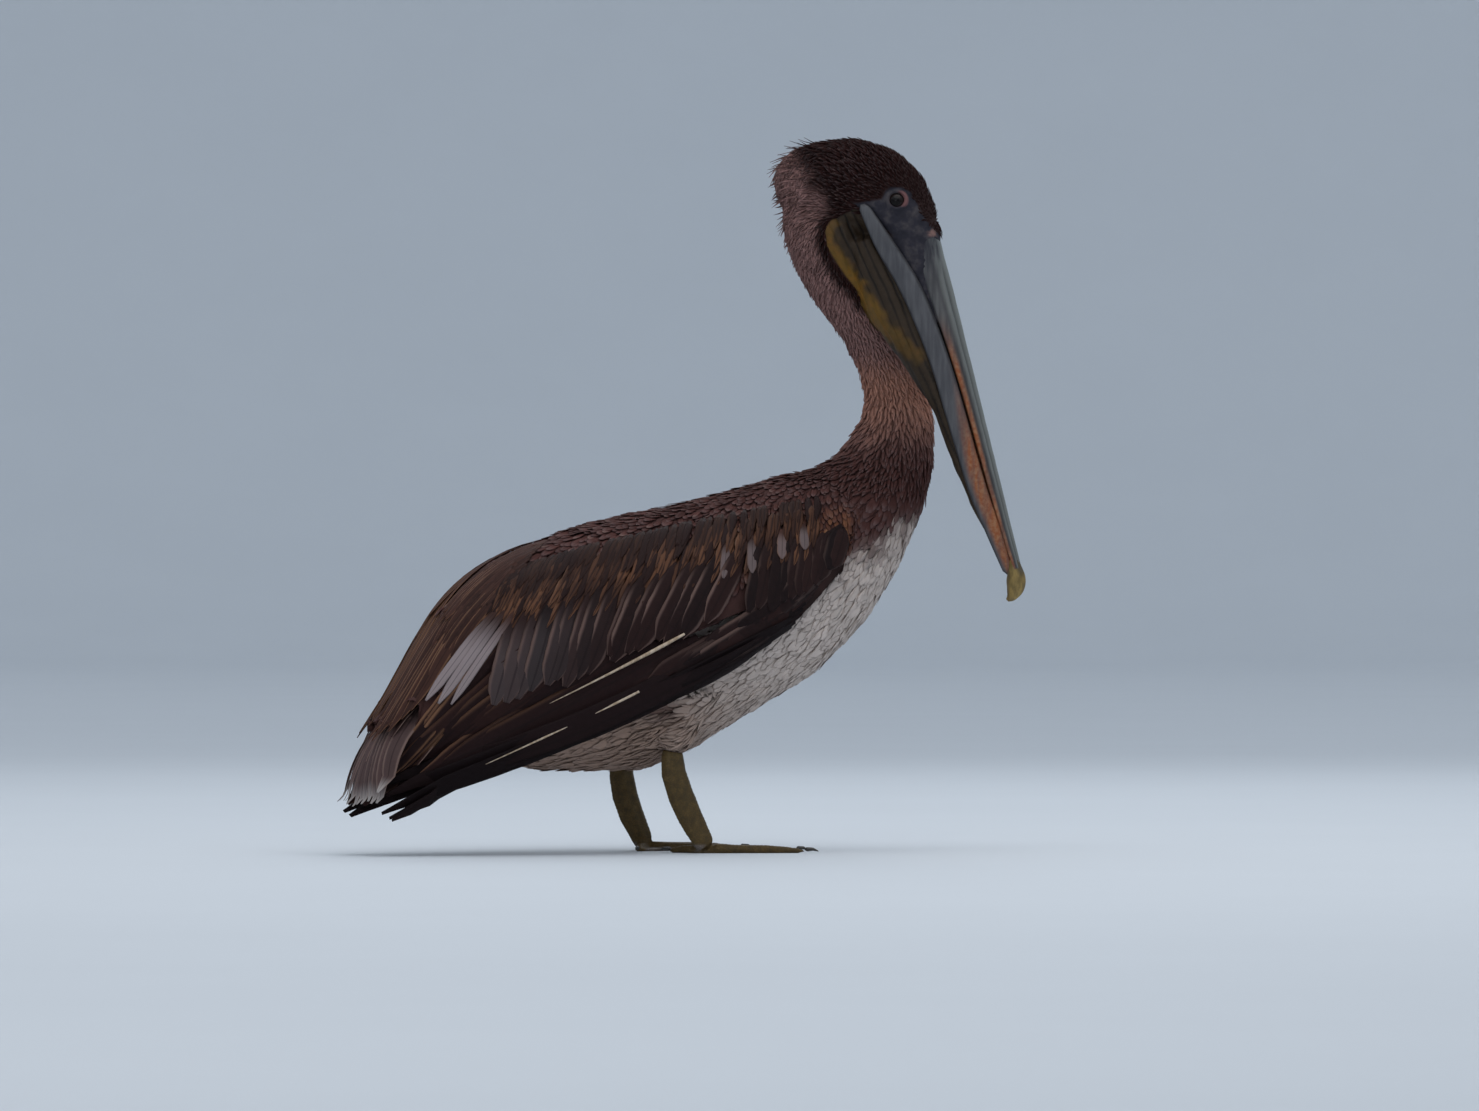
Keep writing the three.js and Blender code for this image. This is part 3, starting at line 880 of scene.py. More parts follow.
@dataclass
class Plumes:
    """A batch of feathers of one cut, all at once.

    Each array has a row for each feather.
    """

    roots: np.ndarray
    ways: np.ndarray
    lengths: np.ndarray
    widths: np.ndarray
    root_heights: np.ndarray
    tip_heights: np.ndarray
    values: dict[str, np.ndarray] = field(default_factory=dict)
    places: np.ndarray | None = None
    patch: float = PATCH
    curls: np.ndarray | float = 0.0  # extra rise at the very tip
    rolls: np.ndarray | float = 0.0  # turn about the shaft, in radians
    tips: np.ndarray | None = None  # where the tips lie, for long feathers that are laid rather than traced
    outward: np.ndarray | None = None  # roughly away from the body, for long feathers

    def trace(self, surface: Surface, shares: np.ndarray) -> tuple[np.ndarray, np.ndarray, np.ndarray]:
        """Follows the surface from each root.

        Args:
            surface: The surface to follow.
            shares: Places between root and tip.

        Returns:
            The middle line's points, the normals there and the ways it runs, each by row and feather.
        """
        spots, normals, _ = surface.nearest(self.roots)
        ways = self.ways
        lines, ups, runs = [], [], []
        last = 0.0
        for share in shares:
            step = (share - last) * self.lengths
            last = share
            ways = unit(ways - normals * (ways * normals).sum(1, keepdims=True))
            if np.any(step > 0):
                spots, normals, _ = surface.nearest(spots + ways * step[:, None] + normals * 0.5 * MM)
            lines.append(spots)
            ups.append(normals)
            runs.append(ways)
        return np.array(lines), np.array(ups), np.array(runs)

    def lay(self, surface: Surface, shares: np.ndarray) -> tuple[np.ndarray, np.ndarray, np.ndarray]:
        """Lays each feather over the surface in one smooth sweep from root to tip.

        Args:
            surface: The surface to lie on.
            shares: Places between root and tip.

        Returns:
            The middle line's points, the normals there and the ways it runs, each by row and feather.
        """
        chord = self.tips - self.roots
        ways = unit(chord)
        guides = np.zeros_like(chord)
        for share in (0.15, 0.35, 0.55, 0.75):
            _, normals, _ = surface.nearest(self.roots + chord * share + self.outward * 10 * MM)
            guides += normals * ((normals @ self.outward) > 0.15)[:, None]
        guides = self.even_out(unit(guides + self.outward * 0.3), 3)
        guides = unit(guides - ways * (guides * ways).sum(1, keepdims=True))
        sides = np.cross(guides, ways)
        lines = self.roots + chord * shares[:, None, None]
        middle = self.heights(surface, lines, guides, shares)
        edge = self.widths[:, None] * 0.4
        right = self.heights(surface, lines + sides * edge, guides, shares)
        left = self.heights(surface, lines - sides * edge, guides, shares)
        tilt = np.arctan2((right - left)[2:-2].mean(0), self.widths * 0.8)
        tilt = self.even_out(np.clip(tilt, -0.5, 0.5)[:, None], 2)[:, 0]
        level = np.maximum(middle, (right + left) / 2)
        lines = lines + guides * level[:, :, None]
        ups = guides * np.cos(tilt)[:, None] - sides * np.sin(tilt)[:, None]
        runs = np.broadcast_to(ways, lines.shape)
        return lines, np.broadcast_to(ups, lines.shape), runs

    def heights(
        self, surface: Surface, lines: np.ndarray, guides: np.ndarray, shares: np.ndarray
    ) -> np.ndarray:
        """How far the surface lies over each line along its guide, as a smooth curve.

        Args:
            surface: The surface to lie on.
            lines: Points by row and feather.
            guides: The way up from each feather's line.
            shares: Places between root and tip.

        Returns:
            A height for each row and feather.
        """
        reach = 45 * MM
        found = np.zeros(lines.shape[:2])
        for k in range(lines.shape[1]):
            guide = Vector(guides[k])
            seen = []
            for point in lines[:, k].tolist():
                hit = surface.tree.ray_cast(Vector(point) + guide * reach, -guide, 2 * reach)
                seen.append(np.nan if hit[0] is None else reach - hit[3])
            seen = np.array(seen)
            known = np.isfinite(seen) & (np.abs(seen) < 28 * MM)
            if known.sum() >= 4:
                fit = np.polynomial.Polynomial.fit(shares[known], seen[known], 3)
                low, high = shares[known].min(), shares[known].max()
                found[:, k] = fit(np.clip(shares, low, high))
        return found

    @staticmethod
    def even_out(rows: np.ndarray, rounds: int) -> np.ndarray:
        """Averages each feather's row of numbers with its neighbours'.

        Args:
            rows: One row for each feather.
            rounds: How often it is done.

        Returns:
            The evened rows.
        """
        for _ in range(rounds):
            padded = np.vstack([rows[:1], rows, rows[-1:]])
            rows = (padded[:-2] + 2 * padded[1:-1] + padded[2:]) / 4
        return rows

    def grow(self, parts: MeshParts, surface: Surface, cut: Cut, rng: np.random.Generator) -> None:
        """Builds the feathers into a piece.

        Args:
            parts: The piece they are added to.
            surface: The surface they follow.
            cut: The way they are cut.
            rng: The random numbers.
        """
        shares = cut.shares()
        follow = self.trace if self.tips is None else self.lay
        lines, ups, runs = follow(surface, shares)
        rows, count = len(shares), len(self.roots)
        rise = self.root_heights + (self.tip_heights - self.root_heights) * shares[:, None] ** 0.8
        rise = rise + np.asarray(self.curls) * shares[:, None] ** 3
        lines = lines + ups * rise[:, :, None]
        # The way the finished middle line runs, so that a lifted feather keeps its shape.
        runs = unit(np.gradient(lines, axis=0) + 1e-9 * runs)
        sides = unit(np.cross(ups, runs))
        ups = np.cross(runs, sides)
        rolls = np.broadcast_to(np.asarray(self.rolls), count)[None, :, None]
        sides, ups = sides * np.cos(rolls) + ups * np.sin(rolls), ups * np.cos(rolls) - sides * np.sin(rolls)
        across = np.linspace(-1, 1, cut.columns)
        half = curve_values(cut.widths, shares)[:, None] * self.widths / 2
        torn = cut.ragged * (rng.random((rows, count, cut.columns)) - 0.7) * np.abs(across) ** 2
        torn = 1 + torn * (shares[:, None, None] > 0.35)
        spread = half[:, :, None] * across * torn
        height = cut.crown * half[:, :, None] * (1 - across**2) + cut.thick * (1 - across**8)
        if cut.shaft:
            middle = bell(across, 0.09)
            height = height + cut.shaft * middle * (1 - shares[:, None, None] * 0.8)
        points = lines[:, :, None] + sides[:, :, None] * spread[..., None]
        points = points + ups[:, :, None] * height[..., None]
        grid = points.transpose(1, 0, 2, 3)  # feather, row, column
        ring = cut.columns
        base = (np.arange(count) * rows * ring)[:, None]
        # Each ring runs over the top from edge to edge, and straight back underneath.
        quads = (ring_quads(rows, ring).ravel() + base).reshape(-1, 4)
        ends = ((0, -1), ((rows - 1) * ring, 1))
        caps = [[start, start + k, start + k + 1][::turn] for start, turn in ends for k in range(1, ring - 1)]
        caps = (np.array(caps).ravel() + base).reshape(-1, 3)
        shape = (count, rows, ring)
        values = {
            "along": np.broadcast_to(shares[None, :, None], shape).ravel(),
            "across": np.broadcast_to(across, shape).ravel(),
            "tone": np.repeat(rng.random(count), rows * ring),
        }
        for key, numbers in self.values.items():
            values[key] = np.repeat(np.broadcast_to(numbers, count), rows * ring)
        places = None
        if self.places is not None:
            sideways = np.broadcast_to(across / 2, shape)
            offset = np.stack([sideways, np.broadcast_to(shares[None, :, None] - 0.5, shape)], -1)
            places = (self.places[:, None, None, :] + offset * self.patch).reshape(-1, 2)
            places = np.clip(places, 0.001, 0.999)
        parts.add(grid.reshape(-1, 3), quads, caps, values, places)


# ---------------------------------------------------------------- where each marking lies

SPINE = np.array(
    [
        [-249, 11, 112], [-207, 11, 136], [-167, 11, 150], [-107, 11, 165], [-37, 11, 185],
        [33, 11, 205], [103, 11, 235], [163, 11, 275], [205, 11, 315], [223, 11, 350],
        [228, 10, 389], [216, 6, 426], [192, 2, 466], [167, -2, 503], [152, -7, 540], [153, -13, 574],
    ]
) * MM  # fmt: skip
MIDDLE = 11.3 * MM  # the body's own middle plane, as y
RUST_LINE = np.array(
    [
        [150, -52, 290], [120, -57, 288], [59, -62, 279], [-2, -70, 257], [-59, -68, 248],
        [-114, -64, 231], [-150, -59, 222], [-178, -48, 216], [-200, -32, 212],
    ]
) * MM  # fmt: skip
THIGH_SPOT = np.array([-22, -62, 132]) * MM
NECK_TAN = (338 * MM, 405 * MM)
GREY_TOP = 438 * MM


def mirrored(points: np.ndarray) -> np.ndarray:
    """Points on the other side of the body's middle plane."""
    return points * [1, -1, 1] + [0, 2 * MIDDLE, 0]


def right_side(points: np.ndarray) -> np.ndarray:
    """Points carried over to the bird's right side."""
    return np.where((points[:, 1] > MIDDLE)[:, None], mirrored(points), points)


@dataclass(frozen=True)
class Markings:
    """How far each marking holds at some points, 0 to 1."""

    points: np.ndarray

    def values(self) -> dict[str, np.ndarray]:
        """Works out every marking.

        Returns:
            Numbers for each point, by the marking's name.
        """
        p = self.points
        local = HEAD.local(p)
        forward, up = local[:, 0], local[:, 2]
        z = p[:, 2]
        wobble = value_noise(p, 22 * MM, 3.1) * 9 * MM + value_noise(p, 9 * MM, 8.7) * 4 * MM
        flat = local[:, [0, 2]]
        throat = signed_distance(flat, THROAT_PATCH)
        head = soft_mm(455, 480, z + forward * 0.3)
        # The dark cap ends behind along a slanting line, and runs down beside the throat patch.
        back_line = (forward + 35 * MM) + up * 0.5 - wobble * 1.3
        cap = soft_mm(-15, 12, back_line) * soft_mm(-70, -45, up)
        rim = soft_mm(11, 4, throat + wobble * 0.35) * soft_mm(-150, -120, up)
        cap = np.maximum(cap, rim) * head
        tan = smooth(*NECK_TAN, z + wobble) * (1 - smooth(GREY_TOP - 25 * MM, GREY_TOP + 12 * MM, z))
        slant = z - 267 * MM - (p[:, 0] - 160 * MM) * 0.45
        dark = soft_mm(-26, 20, slant + wobble * 2.2) * (1 - smooth(*NECK_TAN, z + wobble))
        buff = soft_mm(165, -55, p[:, 0] + wobble * 2) * soft_mm(190, 110, z)
        rust = bell(line_distance(right_side(p), RUST_LINE), 19 * MM)
        # A dark brown spot on each side of the body, above the thigh.
        smudge = bell(np.linalg.norm(right_side(p) - THIGH_SPOT, axis=1), 13 * MM)
        return {
            "cap": cap,
            "tan": tan,
            "dark_neck": dark,
            "upper": soft_mm(300, 330, z),
            "buff": buff,
            "rust": rust,
            "smudge": smudge,
        }


# ---------------------------------------------------------------- finishes

UMBER: Colour = (0.022, 0.0105, 0.0085)
CAP_BROWN: Colour = (0.024, 0.0095, 0.0085)
TAUPE: Colour = (0.27, 0.150, 0.135)
TAN: Colour = (0.42, 0.205, 0.145)
NECK_BROWN: Colour = (0.072, 0.031, 0.027)
CREAM: Colour = (0.57, 0.485, 0.435)
BUFF: Colour = (0.33, 0.225, 0.175)
RUST: Colour = (0.19, 0.075, 0.036)
GOLD_TIP: Colour = (0.25, 0.125, 0.070)
CHOCOLATE: Colour = (0.013, 0.0052, 0.0055)
PALE_EDGE: Colour = (0.20, 0.125, 0.105)
ASH: Colour = (0.33, 0.27, 0.27)
BLACK_BROWN: Colour = (0.0075, 0.0040, 0.0045)
SOOT: Colour = (0.008, 0.005, 0.005)
WHITE: Colour = (0.66, 0.62, 0.59)


@dataclass(frozen=True)
class PlumageFinish:
    """The short feathers of head, neck, breast, belly and back, and the skin beneath them."""

    name: str = "plumage"
    pale_tip: float = 0.35

    def ground(self, shader: Shader) -> Wire:
        """The colour that the markings give, shared by skin and feathers.

        Args:
            shader: The shader it is built in.

        Returns:
            The colour.
        """
        body = shader.mix(shader.value("buff"), CREAM, BUFF)
        body = shader.mix(shader.value("wing"), body, UMBER)
        body = shader.mix(shader.value("upper"), body, TAUPE)
        body = shader.mix(shader.value("tan"), body, TAN)
        body = shader.mix(shader.value("dark_neck"), body, NECK_BROWN)
        body = shader.mix(shader.value("cap"), body, CAP_BROWN)
        return shader.mix(shader.value("smudge"), body, NECK_BROWN)

    def material(self) -> bpy.types.Material:
        """Builds the material of the short feathers.

        Returns:
            The material.
        """
        shader = Shader(self.name)
        along, across, tone = (shader.value(name) for name in ("along", "across", "tone"))
        ground = self.ground(shader)
        patchy = shader.noise(14 * MM, 3.0).step(0.3, 0.7)
        vary = shader.value("wing") * 0.3 + 0.2
        shade = (tone + patchy * 0.6) * vary + 1.0 - vary * 0.75
        grey = shader.node("ShaderNodeCombineColor", {}, {0: shade, 1: shade, 2: shade})
        ground = shader.mix(1.0, ground, grey, "MULTIPLY")
        tip = along.step(0.55, 1.0) * (0.5 + 0.5 * tone) * self.pale_tip
        ground = shader.mix(tip, ground, shader.mix(0.5, ground, ASH))
        wing, rust = shader.value("wing"), shader.value("rust")
        flecked = tone.step(0.35, 0.8)
        rusty = wing * rust * (0.35 + 0.65 * flecked) * along.step(0.1, 0.6)
        ground = shader.mix(rusty, ground, shader.mix(tone.step(0.7, 0.95), RUST, GOLD_TIP))
        fleck = wing * (1.0 - rust) * tone.step(0.82, 0.98) * along.step(0.6, 0.95)
        ground = shader.mix(fleck * 0.55, ground, PALE_EDGE)
        quill = abs(across).step(0.22, 0.0) * wing * 0.3
        ground = shader.mix(quill, ground, SOOT)
        barbs = (across * 9.0 + along * 14.0).sine() * 0.5 + 0.5
        fine = shader.noise(1.6 * MM, 2.0)
        height = barbs * 0.4 + fine * 0.6
        shader.dress(ground, 0.78 + 0.12 * fine, shader.bump(height, 0.25 * MM, 0.5), Specular_IOR_Level=0.05)
        return shader.material


@dataclass(frozen=True)
class VaneFinish:
    """Long vaned feathers, told apart by the numbers each one carries."""

    name: str
    ground: Colour
    glow: Colour
    edge: Colour
    roughness: float = 0.62
    streaky: bool = False  # the glow keeps to the edges and tip of some feathers only

    def material(self) -> bpy.types.Material:
        """Builds the material.

        Returns:
            The material.
        """
        shader = Shader(self.name)
        along, across, tone = (shader.value(name) for name in ("along", "across", "tone"))
        pale, fringe, tipped = (shader.value(name) for name in ("pale", "fringe", "tipped"))
        quill = abs(across - shader.value("quill_at"))
        lengthwise = shader.noise(5 * MM, 3.0)
        share = tone * 0.6 + lengthwise * 0.4 - 0.1
        if self.streaky:
            share = tone.step(0.05, 0.7) * (0.15 + 0.85 * quill.step(0.03, 0.40))
            patches = shader.noise(34 * MM, 2.0).step(0.34, 0.6)
            share = share * (0.35 + 0.65 * patches) * shader.value("warmth")
        base = shader.mix(share, self.ground, self.glow)
        base = shader.mix(pale * along.step(0.05, 0.5), base, ASH)
        rim = abs(across).step(0.62, 1.0) * along.step(0.15, 0.5) * fringe
        if self.streaky:
            rim = rim * tone.step(0.45, 0.95)
        base = shader.mix(rim, base, self.edge)
        end = along.step(0.86, 1.0) * tipped
        base = shader.mix(end, base, WHITE)
        base = shader.mix(quill.step(0.13, 0.03) * 0.45, base, SOOT)
        barbs = (across * across * 60.0 - along * 260.0).sine() * 0.5 + 0.5
        fine = shader.noise(1.2 * MM, 2.0)
        height = barbs * 0.5 + fine * 0.5
        roughness = self.roughness + 0.14 * fine
        shader.dress(base, roughness, shader.bump(height, 0.22 * MM, 0.5), Specular_IOR_Level=0.12)
        return shader.material


@dataclass(frozen=True)
class SkinFinish:
    """The bare and feathered skin in one."""

    name: str = "skin"
    face: Stops = (
        (0.30, (0.012, 0.011, 0.016)), (0.50, (0.023, 0.021, 0.030)), (0.66, (0.062, 0.053, 0.056)),
    )  # fmt: skip
    # the bare throat's olive; its darkest stop falls in the creases of the folds as painted shade
    olive_and_crease_shade: Stops = (
        (0.15, (0.007, 0.005, 0.004)), (0.55, (0.022, 0.014, 0.0085)), (0.9, (0.044, 0.028, 0.016)),
    )  # fmt: skip
    amber: Stops = (
        (0.2, (0.115, 0.070, 0.014)), (0.55, (0.180, 0.090, 0.012)), (0.85, (0.27, 0.100, 0.010)),
    )  # fmt: skip
    leg: Stops = (
        (0.25, (0.068, 0.042, 0.016)), (0.6, (0.120, 0.074, 0.024)), (0.85, (0.18, 0.120, 0.050)),
    )  # fmt: skip
    web: Stops = (
        (0.25, (0.13, 0.100, 0.085)), (0.6, (0.20, 0.165, 0.145)), (0.85, (0.27, 0.225, 0.20)),
    )  # fmt: skip
    salmon: Colour = (0.165, 0.070, 0.068)
    mauve: Colour = (0.12, 0.07, 0.075)
    brow: Colour = (0.24, 0.135, 0.115)
    scute_gap: Colour = (0.05, 0.04, 0.02)

    def material(self) -> bpy.types.Material:
        """Builds the material.

        Returns:
            The material.
        """
        shader = Shader(self.name)
        feathered = PlumageFinish().ground(shader)
        soft = shader.noise(6 * MM, 4.0)
        # Painted shade: the skin under the feathers is darkened towards near black in soft patches.
        feathered = shader.mix(soft * 0.5, feathered, shader.mix(0.55, feathered, SOOT))
        cloud = shader.noise(11 * MM, 5.0) * 0.6 + soft * 0.4
        face = shader.ramp(cloud, self.face)
        # Painted shade: the throat's folds are darker in their creases, where fold is low.
        olive_and_crease_shade = shader.ramp(shader.value("fold") * 0.6 + soft * 0.4, self.olive_and_crease_shade)
        throat = shader.mix(shader.value("amber"), olive_and_crease_shade, shader.ramp(soft, self.amber))
        leg = shader.mix(shader.value("web"), shader.ramp(soft, self.leg), shader.ramp(soft, self.web))
        base = shader.mix(shader.value("face"), feathered, face)
        base = shader.mix(shader.value("brow") * soft.step(0.3, 0.6), base, self.brow)
        base = shader.mix(shader.value("throat"), base, throat)
        base = shader.mix(shader.value("legs"), base, leg)
        base = shader.mix(shader.value("lid"), base, shader.mix(soft * 0.4, self.salmon, self.mauve))
        scales = shader.cells(1.9 * MM, "DISTANCE_TO_EDGE").step(0.0, 0.22)
        base = shader.mix(shader.value("legs") * (1.0 - scales) * 0.5, base, self.scute_gap)
        grain = shader.noise(0.9 * MM, 3.0)
        height = scales * shader.value("legs") * 0.7 + grain * 0.4 + soft * 0.3
        roughness = 0.82 - shader.value("bare") * 0.28 + grain * 0.1
        shader.dress(base, roughness, shader.bump(height, 0.4 * MM, 0.6), Specular_IOR_Level=0.22)
        return shader.material


@dataclass(frozen=True)
class BillFinish:
    """The horn of the two halves of the bill."""

    name: str
    slate: Colour = (0.056, 0.054, 0.057)
    light: Colour = (0.118, 0.115, 0.113)
    flush: Colour = (0.29, 0.080, 0.024)
    root: Colour = (0.018, 0.017, 0.025)
    # painted highlight: lighter colour laid along the ridge and over the top of the upper bill
    ridge_highlight: Colour = (0.215, 0.230, 0.210)
    rose: Colour = (0.36, 0.17, 0.08)
    # painted shade in the grooves and along the edges where the bill's halves meet; also the dark side lines
    groove: Colour = (0.022, 0.020, 0.022)
    speck: Colour = (0.22, 0.19, 0.17)

    def material(self) -> bpy.types.Material:
        """Builds the material.

        Returns:
            The material.
        """
        shader = Shader(self.name)
        flush, ridge, line = (shader.value(name) for name in ("flush", "ridge", "line"))
        streak = shader.noise(7 * MM, 4.0, (1.6, 1.6, 0.18))
        mottle = shader.noise(3 * MM, 3.0)
        base = shader.mix(streak.step(0.3, 0.75), self.slate, self.light)
        # Painted highlight: the ridge and the top of the upper bill are made lighter.
        base = shader.mix(ridge * 0.9, base, self.ridge_highlight)
        warm = flush * (0.5 + 0.7 * streak.step(0.25, 0.7))
        base = shader.mix(warm, base, shader.mix(mottle.step(0.35, 0.75), self.flush, self.rose))
        # The line value darkens the grooves and the meeting edges as painted shade, and draws the dark side
        # lines.
        base = shader.mix(line, base, self.groove)
        base = shader.mix(mottle.step(0.6, 0.9) * 0.2, base, self.speck)
        base = shader.mix(shader.value("base") * (1.0 - 0.6 * streak.step(0.35, 0.7)), base, self.root)
        grain = shader.noise(0.8 * MM, 2.0, (1.0, 1.0, 0.3))
        height = streak * 0.5 + grain * 0.5
        shader.dress(base, 0.5 + 0.2 * mottle, shader.bump(height, 0.3 * MM, 0.4), Specular_IOR_Level=0.35)
        return shader.material


@dataclass(frozen=True)
class HornFinish:
    """Plain horn, of nail or claw."""

    name: str
    dark: Colour
    light: Colour
    roughness: float = 0.4
    # the colour where the patch value is high: on the nail's top near its base and on its underside, on the
    # claws towards the floor
    patch_colour: Colour = (0.03, 0.026, 0.02)

    def material(self) -> bpy.types.Material:
        """Builds the material.

        Returns:
            The material.
        """
        shader = Shader(self.name)
        streak = shader.noise(4 * MM, 3.0, (1.0, 1.0, 0.4))
        base = shader.mix(streak.step(0.3, 0.7), self.dark, self.light)
        base = shader.mix(shader.value("patch"), base, self.patch_colour)
        fine = shader.noise(0.9 * MM, 2.0)
        shader.dress(base, self.roughness + 0.15 * fine, shader.bump(streak + fine, 0.2 * MM, 0.4))
        return shader.material


@dataclass(frozen=True)
class EyeFinish:
    """The dark wet eye."""

    name: str = "eye"

    def material(self) -> bpy.types.Material:
        """Builds the material.

        Returns:
            The material.
        """
        shader = Shader(self.name)
        ring = shader.value("iris")
        rays = shader.noise(0.7 * MM, 3.0)
        iris = shader.mix(rays, (0.007, 0.004, 0.004), (0.018, 0.010, 0.008))
        base = shader.mix(ring, (0.004, 0.003, 0.003), iris)
        gloss = {"Specular_IOR_Level": 0.1, "Coat_Weight": 0.1, "Coat_Roughness": 0.03}
        shader.dress(base, 0.14 + 0.06 * rays, **gloss)
        return shader.material


@dataclass(frozen=True)
class FloorFinish:
    """The plain pale floor."""

    name: str = "floor"

    def material(self) -> bpy.types.Material:
        """Builds the material.

        Returns:
            The material.
        """
        shader = Shader(self.name)
        soft = shader.noise(0.4, 3.0)
        base = shader.mix(soft, (0.60, 0.64, 0.68), (0.63, 0.67, 0.71))
        shader.dress(base, 0.75 + 0.1 * soft)
        return shader.material


# ---------------------------------------------------------------- the skin

FLESH = (
    "trunk", "neck_lower", "neck_middle", "neck_upper", "head", "pouch",
    "wing_left", "wing_right", "thigh_left", "thigh_right",
)  # fmt: skip
SHANKS = ("leg_left", "foot_left", "leg_right", "foot_right")


def distance_to(points: np.ndarray, names: Sequence[str]) -> np.ndarray:
    """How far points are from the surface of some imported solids.

    Args:
        points: Rows of x, y and z.
        names: The solids' names.

    Returns:
        One distance for each point.
    """
    helper = node_copy(names, "helper")
    tree = BVHTree.FromPolygons(mesh_points(helper.data).tolist(), mesh_triangles(helper.data).tolist())
    found = np.array([tree.find_nearest(row)[3] for row in points.tolist()])
    drop(helper)
    return found


@dataclass
class Feet:
    """The two webbed feet: where each toe lies."""

    starts: dict[str, tuple[float, float]] = field(
        default_factory=lambda: {"left": (7.2 * MM, 66.3 * MM), "right": (16.2 * MM, -43.7 * MM)}
    )
    turns: tuple[float, ...] = (124, 32, 4, -22)  # degrees towards the other foot
    lengths: tuple[float, ...] = (38 * MM, 72 * MM, 92 * MM, 88 * MM)

    def toe_distance(self, points: np.ndarray) -> tuple[np.ndarray, np.ndarray]:
        """How far points are from the nearest toe's middle line, and how far along it.

        Args:
            points: Rows of x, y and z.

        Returns:
            The distances aside and the distances along.
        """
        nearest = np.full(len(points), np.inf)
        along = np.zeros(len(points))
        for side, start in self.starts.items():
            inward = -1 if side == "left" else 1
            for turn, length in zip(self.turns, self.lengths, strict=True):
                angle = math.radians(turn)
                way = np.array([math.cos(angle), inward * math.sin(angle)])
                offset = points[:, :2] - start
                reach = np.clip(offset @ way, 0, length)
                gap = np.linalg.norm(offset - reach[:, None] * way, axis=1)
                closer = gap < nearest
                nearest[closer], along[closer] = gap[closer], reach[closer]
        return nearest, along


@dataclass
class Skin:
    """The one skin that stands in for all the flesh."""

    face_size: float = 2.3 * MM
    shank_size: float = 1.2 * MM
    smoothing: int = 22
    coat: float = 3.0 * MM
    head_coat: float = 2.0 * MM
    fold_gap: float = 7.5 * MM
    fold_depth: float = 1.1 * MM
    eye_radius: float = 8.0 * MM
    opening: float = 6.9 * MM
    feet: Feet = field(default_factory=Feet)

    def face_distance(self, local: np.ndarray) -> tuple[np.ndarray, np.ndarray]:
        """How far head points are outside the bare face and the bare throat, seen from the side."""
        flat = local[:, [0, 2]]
        return signed_distance(flat, FACE_PATCH), signed_distance(flat, THROAT_PATCH)

    def cheeks(self, parts: MeshParts) -> None:
        """Adds the skin that closes the corner of the mouth between the bars of the bill.

        Args:
            parts: The form of the flesh so far.
        """
        share = np.linspace(0, 1, 24)
        along = (-26 + 100 * share) * MM
        top = curve_values((-12, -8, -7, -7, -6), share) * MM
        low = curve_values((-50, -44, -36, -31, -27), share) * MM
        half = curve_values((24.5, 22.5, 20.5, 18.6, 16.8), share) * MM
        angles = np.linspace(0, 2 * math.pi, 28, endpoint=False)
        sideways, upward = round_powers(angles, 3.5)
        level = (top + low)[:, None] / 2 + upward * (top - low)[:, None] / 2
        loft(parts, BILL.place(along[:, None], sideways * half[:, None], level), {})

    def refine(self, thing: bpy.types.Object) -> None:
        """Splits the faces of the bare head finer, and those round the eyes finer still.

        Args:
            thing: The skin so far, changed in place.
        """
        mesh = bmesh.new()
        mesh.from_mesh(thing.data)
        bmesh.ops.triangulate(mesh, faces=mesh.faces[:])
        for reach, radius in ((3 * MM, 0.0), (0.0, 15 * MM)):
            points = np.array([v.co[:] for v in mesh.verts])
            local = HEAD.local(points)
            if radius:
                gaps = [np.linalg.norm(points - eye, axis=1) for eye in HEAD.eyes.values()]
                inside = np.minimum(*gaps) < radius
            else:
                face, throat = self.face_distance(local)
                inside = (np.minimum(face, throat) < reach) & (local[:, 0] > -35 * MM)
            edges = [e for e in mesh.edges if inside[e.verts[0].index] and inside[e.verts[1].index]]
            bmesh.ops.subdivide_edges(mesh, edges=edges, cuts=1)
            bmesh.ops.triangulate(mesh, faces=[f for f in mesh.faces if len(f.verts) > 3])
            mesh.verts.index_update()
        mesh.to_mesh(thing.data)
        mesh.free()

    def open_eyes(self, points: np.ndarray, surface: Surface) -> tuple[np.ndarray, np.ndarray]:
        """Sinks a socket for each eye and raises the lids round it.

        Args:
            points: The skin's points.
            surface: The skin before this.

        Returns:
            The moved points, and how far each belongs to a lid.
        """
        moved, lid = points.copy(), np.zeros(len(points))
        for side, centre in HEAD.eyes.items():
            outward = HEAD.left * (1 if side == "left" else -1)
            _, normal, _ = surface.nearest((centre + outward * 12 * MM)[None, :])
            axis = unit(normal[0] + outward)
            offset = moved - centre
            height = offset @ axis
            aside = offset - height[:, None] * axis
            radius = np.linalg.norm(aside, axis=1)
            zone = (radius < 14 * MM) & (height > -4 * MM) & (height < 14 * MM)
            r = radius[zone]
            ball = np.sqrt(np.maximum(self.eye_radius**2 - r**2, 0))
            socket = ball - 2.6 * MM
            rim = np.sqrt(self.eye_radius**2 - self.opening**2) + 0.5 * MM
            wanted = np.where(r < self.opening - 0.5 * MM, socket, rim)
            ease = soft_mm(13.5, 8.5, r)
            level = height[zone] * (1 - ease) + wanted * ease
            swell = bell(r - 8.3 * MM, 1.5 * MM) * 1.1 * MM
            crease = bell(r - 11.2 * MM, 0.9 * MM) * 0.45 * MM
            moved[zone] += axis * (level + swell - crease - height[zone])[:, None]
            forward = aside[zone] @ HEAD.forward / np.maximum(r, 1e-6)
            upward = aside[zone] @ UP / np.maximum(r, 1e-6)
            front = smooth(0.05, 0.85, forward * 0.94 + upward * 0.25)
            outer, inner = 8.2 * MM + 2.8 * MM * front, 7.2 * MM + 2.2 * MM * front
            ring = soft_mm(5.8, 6.8, r) * smooth(outer, inner, r)
            lid[zone] = np.maximum(lid[zone], ring * (0.04 + 0.96 * front))
        return moved, lid

